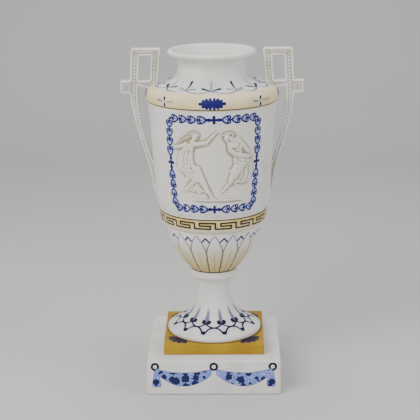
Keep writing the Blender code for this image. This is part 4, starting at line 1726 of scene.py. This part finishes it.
@dataclass
class VaseBody:
    """Turned and carved vessel, from the foot on the slab to the lip and inside.

    Each outline runs upwards as (height, radius), and the cavity downwards.

    Attributes:
        foot, collar, bowl, key_band, barrel, shoulder, neck, cavity: the outlines.
        cavity_floor: height of the middle of the cavity's floor.
        plain_columns: points round a plain ring.
        foot_columns, bowl_columns, cavity_columns: points round the rings there.
        coarse_step: angle between points of the barrel outside the panel.
        below_gap, above_gap: gaps between the barrel's rings below and above the panel.
        panel: the dancers' relief.
        leaves: the carved leaves.
    """

    foot: tuple[Point, ...] = (
        (45.3, 49.0), (50.3, 49.6), (51.2, 50.3), (52.8, 50.7), (54.8, 50.4), (56.2, 49.0),
        (58.0, 45.6), (61.4, 40.2), (67.2, 31.3), (73.4, 24.8), (80.6, 20.6), (89.0, 18.0),
        (97.4, 17.4), (105.0, 18.8), (109.6, 21.1), (112.8, 24.3),
    )
    collar: tuple[Point, ...] = ((113.5, 25.1), (115.4, 25.5), (117.8, 25.5), (119.8, 25.0), (121.0, 24.4))
    bowl: tuple[Point, ...] = (
        (121.6, 24.7), (126.4, 28.8), (132.6, 33.6), (140.4, 38.8), (148.8, 43.5), (156.4, 47.0),
        (163.0, 49.4), (167.6, 50.8), (172.2, 51.9),
    )
    key_band: tuple[Point, ...] = (
        (172.6, 52.6), (173.8, 54.3), (177.0, 55.7), (182.5, 56.9), (188.2, 57.6), (189.4, 57.4),
    )
    barrel: tuple[Point, ...] = (
        (189.9, 56.7), (193.0, 58.3), (197.0, 59.6), (201.5, 60.6), (207.0, 61.3), (216.0, 61.9),
        (228.0, 62.5), (240.0, 63.2), (252.0, 64.1), (264.0, 65.0), (276.0, 65.8), (288.0, 66.5),
        (298.0, 67.3), (305.4, 67.9),
    )
    shoulder: tuple[Point, ...] = (
        (306.0, 68.7), (307.4, 69.5), (310.5, 70.2), (315.0, 69.6), (318.6, 67.4), (320.8, 64.2),
        (321.7, 60.6),
    )
    neck: tuple[Point, ...] = (
        (322.0, 60.0), (322.7, 55.2), (324.2, 48.9), (326.8, 43.2), (330.6, 39.1), (335.2, 36.3),
        (340.6, 35.2), (345.6, 36.2), (349.6, 38.8), (352.8, 44.0), (354.2, 46.0), (355.8, 46.6),
        (357.4, 46.1), (358.4, 44.6), (358.5, 43.0), (357.6, 41.4),
    )
    cavity: tuple[Point, ...] = (
        (354.2, 39.2), (348.0, 33.2), (340.4, 30.7), (332.6, 32.9), (324.6, 39.6), (318.6, 51.4),
        (315.2, 60.4), (310.0, 64.2), (276.0, 61.2), (240.0, 58.6), (207.0, 56.6), (190.0, 52.6),
        (172.0, 46.9), (156.0, 41.4), (142.0, 33.9), (131.6, 23.0), (127.6, 12.0),
    )
    cavity_floor: float = 126.6
    plain_columns: int = 160
    foot_columns: int = 128
    bowl_columns: int = 320
    cavity_columns: int = 64
    coarse_step: float = 0.085
    below_gap: float = 2.0
    above_gap: float = 2.5
    panel: Panel = field(default_factory=Panel)
    leaves: LeafBowl = field(default_factory=LeafBowl)

    def barrel_angles(self) -> np.ndarray:
        """Spread angles round the barrel, close together in front, where the relief is.

        Returns:
            The rising angles.
        """
        fine = self.panel.columns() / self.panel.radius
        rest = TAU - (fine[-1] - fine[0])
        count = round(rest / self.coarse_step)
        around = fine[-1] + rest * np.arange(1, count) / count
        around = np.where(around >= math.pi, around - TAU, around)
        return np.sort(np.concatenate([fine, around]))

    def build(self) -> bpy.types.Object:
        """Build the mesh with one finish for each course.

        Returns:
            The vase's body.
        """
        self.panel.carve()
        shell = Shell()
        plain = even_angles(self.plain_columns)
        # Outline, longest gap between rings, angles, relief and course
        stretches = [
            (self.foot, 1.6, even_angles(self.foot_columns), plain_row, Course.FOOT),
            (self.collar, 0.8, even_angles(self.foot_columns), plain_row, Course.FOOT),
            (self.bowl, 1.05, even_angles(self.bowl_columns), self.leaves.row_at, Course.BOWL),
            (self.key_band, 1.0, plain, plain_row, Course.KEY_BAND),
            (self.barrel, self.panel.step, self.barrel_angles(), self.panel.row_at, Course.BARREL),
            (self.shoulder, 0.9, plain, plain_row, Course.SHOULDER),
            (self.neck, 1.3, plain, plain_row, Course.NECK),
            (self.cavity, 4.0, even_angles(self.cavity_columns), plain_row, Course.CAVITY),
        ]
        for outline, spacing, angles, relief, course in stretches:
            for height, radius in self._levels(outline, spacing, course):
                raised, tint = relief(angles, height)
                shell.ring(angles, radius + raised, height, tint, course.value)
        shell.cap(self.cavity_floor, Course.CAVITY.value, up=True)
        # One finish for each course, in the order of their numbers
        finishes = (
            FootPaint(), BowlPaint(self.leaves.cut), KeyPaint(), BarrelPaint(),
            ShoulderPaint(), NeckPaint(), BareClay(),
        )
        return shell.to_object("vase_body", [paint.material() for paint in finishes])

    def _levels(self, outline: Sequence[Point], spacing: float, course: Course) -> np.ndarray:
        """Place the rings of one stretch, dense only where the panel needs it.

        Args:
            outline: outline of the stretch.
            spacing: longest gap between rings.
            course: which stretch it is.

        Returns:
            The height and the radius of each ring.
        """
        line = smooth_line(outline, spacing)
        if course is not Course.BARREL:
            return line
        heights = np.concatenate([
            np.arange(line[0, 0], self.panel.bottom - 1.0, self.below_gap),
            self.panel.rows(),
            np.arange(self.panel.top + self.above_gap, line[-1, 0] - 1.0, self.above_gap),
            line[-1:, 0],
        ])
        return np.stack([heights, np.interp(heights, line[:, 0], line[:, 1])], 1)


def rounded_outline(points: Sequence[Point], radii: Sequence[float], steps: int) -> list[Point]:
    """Replace the corners of a closed outline with short arcs.

    Args:
        points: corners in order.
        radii: radius at each corner, 0 to keep it.
        steps: stretches of an arc.

    Returns:
        The rounded outline.
    """
    result = []
    for index, corner in enumerate(points):
        here = Vector(corner)
        if radii[index] <= 0.0:
            result.append(tuple(here))
            continue
        back = (Vector(points[index - 1]) - here).normalized()
        ahead = (Vector(points[(index + 1) % len(points)]) - here).normalized()
        setback = radii[index] / math.tan(back.angle(ahead) / 2.0)
        for step in range(steps + 1):
            share = step / steps
            pull_back = (1.0 - share) ** 2 * setback
            pull_ahead = share ** 2 * setback
            result.append(tuple(here + back * pull_back + ahead * pull_ahead))
    return result


def inset_outline(
    points: Sequence[Point], radii: Sequence[float], distance: float, steps: int
) -> list[Point]:
    """Move each side of a closed outline inwards, then round its corners.

    Args:
        points: corners of the outline.
        radii: radius at each corner before the move, 0 to keep it.
        distance: how far inwards, negative to move outwards.
        steps: stretches of a corner's arc.

    Returns:
        The moved outline.
    """
    following = [*points[1:], points[0]]
    turn = 1.0 if sum(a[0] * b[1] - b[0] * a[1] for a, b in zip(points, following)) > 0.0 else -1.0
    moved, adjusted = [], []
    for before, here, after, radius in zip([points[-1], *points[:-1]], points, following, radii):
        first = (Vector(here) - Vector(before)).normalized()
        second = (Vector(after) - Vector(here)).normalized()
        bisector = Vector((-first.y - second.y, first.x + second.x)) * turn
        moved.append(tuple(Vector(here) + bisector * (2.0 * distance / bisector.length_squared)))
        grows = distance if first.cross(second) * turn < 0.0 else -distance
        adjusted.append(max(radius + grows, 0.05) if radius > 0.0 else 0.0)
    return rounded_outline(moved, adjusted, steps)


@dataclass
class KeyHandle:
    """Square key handle with a beaded channel on its front and back.

    Outlines are drawn for the right side as (distance from the axis, height).

    Attributes:
        frame, frame_corners: corners of the frame with its small loop, and their radii.
        arm: outline of the arm and the crossbar, on from the frame.
        window, window_corner: corners of the frame's opening, and their radius.
        loop_hole, loop_corner: corners of the small loop's hole, and their radius.
        corner_steps: stretches of a corner's arc.
        section: rim from the side wall to the channel, as (share of its width, height of the face).
        rims: width of the rim along the outside, the window and the loop's hole.
        floor: height of the channel's floor.
        bead_rows: lines that the beads follow.
        bead_pitch: gap between beads.
        bead_radius: radius of a bead.
        crease: edges sharper than this many degrees stay sharp.
    """

    frame: tuple[Point, ...] = (
        (53.3, 360.0), (84.4, 360.0), (86.0, 326.1), (96.1, 326.1), (96.1, 312.4), (86.0, 312.4),
    )
    frame_corners: tuple[float, ...] = (2.6, 2.6, 0.5, 1.4, 1.4, 0.8)
    arm: tuple[Point, ...] = (
        (85.8, 307.0), (84.4, 298.2), (81.0, 281.0), (76.4, 263.7), (71.2, 246.5), (66.9, 231.0),
        (65.0, 220.0), (63.6, 209.0), (62.0, 206.5), (57.6, 206.5), (57.6, 214.0), (58.4, 232.0),
        (64.6, 243.0), (70.8, 263.7), (75.0, 281.0), (77.4, 298.2), (77.8, 310.0), (77.3, 320.4),
        (67.0, 317.8), (62.0, 317.0), (57.0, 319.0),
    )
    window: tuple[Point, ...] = ((63.2, 352.3), (75.6, 352.3), (77.2, 326.1), (65.0, 326.1))
    window_corner: float = 1.4
    loop_hole: tuple[Point, ...] = ((86.9, 321.9), (91.5, 321.9), (91.5, 315.6), (86.9, 315.6))
    loop_corner: float = 0.6
    corner_steps: int = 6
    section: tuple[Point, ...] = (
        (0.0, 3.3), (0.06, 3.8), (0.22, 4.15), (0.45, 4.3), (0.75, 4.3), (0.92, 4.05), (1.0, 3.7),
    )
    rims: tuple[float, float, float] = (2.1, 2.1, 0.9)
    floor: float = 3.55
    bead_rows: tuple[tuple[Point, ...], ...] = (
        ((58.9, 350.0), (60.9, 321.5)),
        ((62.5, 356.2), (77.5, 356.2)),
        ((80.2, 350.0), (81.6, 326.0), (81.8, 308.0), (80.6, 297.0), (77.8, 281.0), (73.6, 264.0)),
    )
    bead_pitch: float = 3.6
    bead_radius: float = 1.15
    crease: float = 50.0

    def build(self, name: str, side: float) -> bpy.types.Object:
        """Build one handle.

        Args:
            name: name of the piece.
            side: 1 for the right side and -1 for the left.

        Returns:
            The handle.
        """
        mesh = bmesh.new()
        tint = mesh.verts.layers.float.new("tint")
        outlines = [
            ([*self.frame, *self.arm], [*self.frame_corners, *([0.0] * len(self.arm))]),
            (self.window, [self.window_corner] * 4),
            (self.loop_hole, [self.loop_corner] * 4),
        ]
        levels = [(inset, -height) for inset, height in reversed(self.section)] + list(self.section)
        fronts, backs = [], []
        for (outline, radii), rim, sign in zip(outlines, self.rims, (1.0, -1.0, -1.0)):
            rings = []
            for inset, depth in levels:
                line = inset_outline(outline, radii, inset * rim * sign, self.corner_steps)
                rings.append([mesh.verts.new((side * x * MM, depth * MM, z * MM)) for x, z in line])
            for near, far in zip(rings, rings[1:]):
                for a, b, c, d in zip(near, [*near[1:], near[0]], [*far[1:], far[0]], far):
                    mesh.faces.new((a, b, c, d))
            # The channel floors take the full tint: painted shade in the recess
            for vertex in (*rings[0], *rings[-1]):
                vertex[tint] = 1.0
            fronts.append(rings[0])
            backs.append(rings[-1])
        for loops in (fronts, backs):
            edges = [mesh.edges.get(pair) for loop in loops for pair in zip(loop, [*loop[1:], loop[0]])]
            bmesh.ops.triangle_fill(mesh, use_beauty=True, edges=edges)
        bmesh.ops.recalc_face_normals(mesh, faces=mesh.faces)
        self._add_beads(mesh, side)
        data = bpy.data.meshes.new(name)
        mesh.to_mesh(data)
        mesh.free()
        data.materials.append(HandlePaint().material())
        data.shade_smooth()
        data.set_sharp_from_angle(angle=math.radians(self.crease))
        return add_object(name, data)

    def _add_beads(self, mesh: bmesh.types.BMesh, side: float) -> None:
        """Set beads along the channels, front and back.

        Args:
            mesh: mesh of the handle.
            side: 1 for the right side and -1 for the left.
        """
        for row in self.bead_rows:
            line = smooth_line([(z, x) for x, z in row], self.bead_pitch)
            for height, across in line:
                for face in (-1.0, 1.0):
                    made = bmesh.ops.create_icosphere(mesh, subdivisions=2, radius=self.bead_radius * MM)
                    place = Vector((side * across, face * self.floor, height)) * MM
                    bmesh.ops.translate(mesh, verts=made["verts"], vec=place)


@dataclass
class Block:
    """Square block with rounded corners and edges.

    Attributes:
        side: its width.
        base, top: heights of its underside and its top.
        corner: radius of its upright corners.
        edge: radius of its edges.
        hollow, hollow_top: half width and ceiling of the hollow underneath, or 0.
        edge_steps: stretches of an edge's arc.
        corner_reach: angle on each side of a corner that is finely divided.
        corner_angles, side_angles: points at a corner and along a side.
    """

    side: float
    base: float
    top: float
    corner: float
    edge: float
    hollow: float = 0.0
    hollow_top: float = 0.0
    edge_steps: int = 5
    corner_reach: float = 0.09
    corner_angles: int = 12
    side_angles: int = 14

    def angles(self) -> np.ndarray:
        """Spread angles round the axis, closer together at the corners.

        Returns:
            The angles, once round.
        """
        reach = self.corner_reach
        near = np.linspace(-reach, reach, self.corner_angles)
        along = np.linspace(reach, TAU / 4.0 - reach, self.side_angles)[1:-1]
        quarter = np.concatenate([near, along]) - math.pi + TAU / 8.0
        return np.concatenate([quarter + TAU / 4.0 * turn for turn in range(4)])

    def radii(self, angles: np.ndarray, half: float, corner: float) -> np.ndarray:
        """Measure a rounded square from the axis.

        Args:
            angles: angles round the axis.
            half: half its width.
            corner: radius of its corners.

        Returns:
            The distance to its side at each angle.
        """
        corner = max(corner, 0.05)
        turn = np.abs((angles + TAU / 8.0) % (TAU / 4.0) - TAU / 8.0)
        flat = half / np.cos(turn)
        centre = (half - corner) * math.sqrt(2.0)
        off = TAU / 8.0 - turn
        room = np.maximum(corner ** 2 - (centre * np.sin(off)) ** 2, 0.0)
        arc = centre * np.cos(off) + np.sqrt(room)
        on_arc = flat * np.sin(turn) > half - corner
        return np.where(on_arc, arc, flat)

    def build(self, name: str, material: bpy.types.Material) -> bpy.types.Object:
        """Build the block.

        Args:
            name: name of the piece.
            material: its finish.

        Returns:
            The block.
        """
        half, edge = self.side / 2.0, self.edge
        turns = [math.pi / 2.0 * step / self.edge_steps for step in range(self.edge_steps + 1)]
        lower = [(edge * (1.0 - math.sin(t)), self.base + edge * (1.0 - math.cos(t))) for t in turns]
        upper = [(edge * (1.0 - math.cos(t)), self.top - edge * (1.0 - math.sin(t))) for t in turns]
        levels = [(half - inset, self.corner - inset, height) for inset, height in lower + upper]
        if self.hollow:
            inner = [(self.hollow, self.corner, self.hollow_top), (self.hollow, self.corner, self.base)]
            levels = inner + levels
        shell = Shell()
        angles = self.angles()
        for reach, corner, height in levels:
            shell.ring(angles, self.radii(angles, reach, corner), height, np.zeros_like(angles), 0)
        shell.cap(self.top, 0, up=True)
        return shell.to_object(name, [material])


@dataclass(frozen=True)
class Lamp:
    """One square soft light, with lengths in metres.

    Attributes:
        name, place: its name and where it hangs.
        size: its width.
        power: its power in watts.
        colour: colour of its light.
    """

    name: str
    place: tuple[float, float, float]
    size: float
    power: float
    colour: Colour


@dataclass
class Studio:
    """Floor, soft lights and a camera at the photo's angle, with lengths in metres.

    Attributes:
        distance: from the axis to the camera, level.
        height: height of the camera.
        pitch: how far the camera looks down, in degrees.
        turn: how far it stands to the right of the front, in degrees.
        roll: how far it is tilted, in degrees.
        aside: how far left of the axis it aims.
        lens: focal length on a 36 mm sensor, in millimetres.
        lamps: the soft lights.
        lamp_aim: height that they face.
        room_colour, room_strength: the light from all round.
        floor_half: half the floor's width.
        floor_front, floor_back: ends of its level part, along Y.
        floor_bend: radius in which it turns up behind.
        wall_top: height of its upper end.
    """

    distance: float = 1.3867
    height: float = 0.5637
    pitch: float = 15.30
    turn: float = 1.0
    roll: float = -0.6
    aside: float = 0.0035
    lens: float = 114.34
    lamps: tuple[Lamp, ...] = (
        Lamp("key_light", (-0.75, -0.95, 1.05), 0.9, 19.6, (1.0, 0.985, 0.96)),
        Lamp("fill_light", (1.25, -0.55, 0.75), 0.9, 8.5, (0.95, 0.975, 1.0)),
        Lamp("top_light", (0.0, 0.25, 1.5), 1.0, 10.5, (1.0, 1.0, 1.0)),
    )
    lamp_aim: float = 0.18
    room_colour: Colour = (0.88, 0.91, 1.0)
    room_strength: float = 0.42
    floor_half: float = 2.4
    floor_front: float = -1.2
    floor_back: float = 1.0
    floor_bend: float = 0.5
    wall_top: float = 2.6

    def floor(self) -> bpy.types.Object:
        """Lay a pale floor that curves up behind the object.

        Returns:
            The floor.
        """
        back, bend = self.floor_back, self.floor_bend
        turns = np.linspace(0.1, math.pi / 2.0, 12)
        curve = [(back + bend * math.sin(a), bend - bend * math.cos(a)) for a in turns]
        shape = [(self.floor_front, 0.0), (back, 0.0), *curve, (back + bend, self.wall_top)]
        points = [(x, y, z) for y, z in shape for x in (-self.floor_half, self.floor_half)]
        faces = [(i, i + 1, i + 3, i + 2) for i in range(0, len(points) - 2, 2)]
        data = bpy.data.meshes.new("studio_floor")
        data.from_pydata(points, [], faces)
        data.shade_smooth()
        canvas = Canvas("studio_floor")
        canvas.shader.inputs["Roughness"].default_value = 0.9
        canvas.colour = PIGMENT.floor
        canvas.lay(PIGMENT.floor_shade, canvas.noise(300.0))
        data.materials.append(canvas.finish())
        return add_object("studio_floor", data)

    def lights(self) -> None:
        """Hang the soft lights and set the room's own light."""
        for lamp in self.lamps:
            self._hang(lamp)
        world = bpy.data.worlds.new("studio")
        world.use_nodes = True
        background = world.node_tree.nodes["Background"]
        background.inputs["Color"].default_value = (*self.room_colour, 1.0)
        background.inputs["Strength"].default_value = self.room_strength
        bpy.context.scene.world = world

    def _hang(self, lamp: Lamp) -> None:
        """Add one square light that faces the vase's middle.

        Args:
            lamp: its place, size, power and colour.
        """
        data = bpy.data.lights.new(lamp.name, "AREA")
        data.size = lamp.size
        data.energy = lamp.power
        data.color = lamp.colour
        light = add_object(lamp.name, data)
        light.location = lamp.place
        aim = Vector((0.0, 0.0, self.lamp_aim)) - light.location
        light.rotation_euler = aim.to_track_quat("-Z", "Y").to_euler()

    def camera(self) -> None:
        """Place the camera."""
        data = bpy.data.cameras.new("camera")
        data.sensor_width = 36.0
        data.lens = self.lens
        data.clip_end = 20.0
        camera = add_object("camera", data)
        around = Matrix.Rotation(math.radians(self.turn), 4, "Z")
        place = Matrix.Translation((-self.aside, -self.distance, self.height))
        down = Matrix.Rotation(math.radians(90.0 - self.pitch), 4, "X")
        tilt = Matrix.Rotation(math.radians(self.roll), 4, "Z")
        camera.matrix_world = around @ place @ (down @ tilt)
        bpy.context.scene.camera = camera


def stand_for(piece: bpy.types.Object, node: str) -> None:
    """Tie a piece to the CAD node that it stands for.

    Args:
        piece: the finely made piece.
        node: name of the CAD node.
    """
    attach(piece, "root")
    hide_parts(node)
    LOG.info("%s: %d faces", piece.name, len(piece.data.polygons))


def main() -> None:
    """Build the pieces in order and report each one."""
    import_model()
    plinth = Block(side=142.0, base=0.0, top=38.6, corner=3.0, edge=2.2, hollow=64.5, hollow_top=32.1)
    slab = Block(side=107.0, base=38.9, top=50.3, corner=1.2, edge=1.0)
    pieces = [
        (plinth.build("plinth_block", PlinthPaint().material()), "plinth", Slot.PLINTH),
        (slab.build("yellow_slab", SlabPaint().material()), "vase", Slot.VASE),
        (VaseBody().build(), "vase", Slot.VASE),
        (KeyHandle().build("right_handle", 1.0), "vase", Slot.VASE),
        (KeyHandle().build("left_handle", -1.0), "vase", Slot.VASE),
    ]
    for piece, node, slot in pieces:
        stand_for(piece, node)
    studio = Studio()
    studio.floor()
    studio.lights()
    studio.camera()


if __name__ == "__main__":
    logging.basicConfig(level=logging.INFO)
    main()
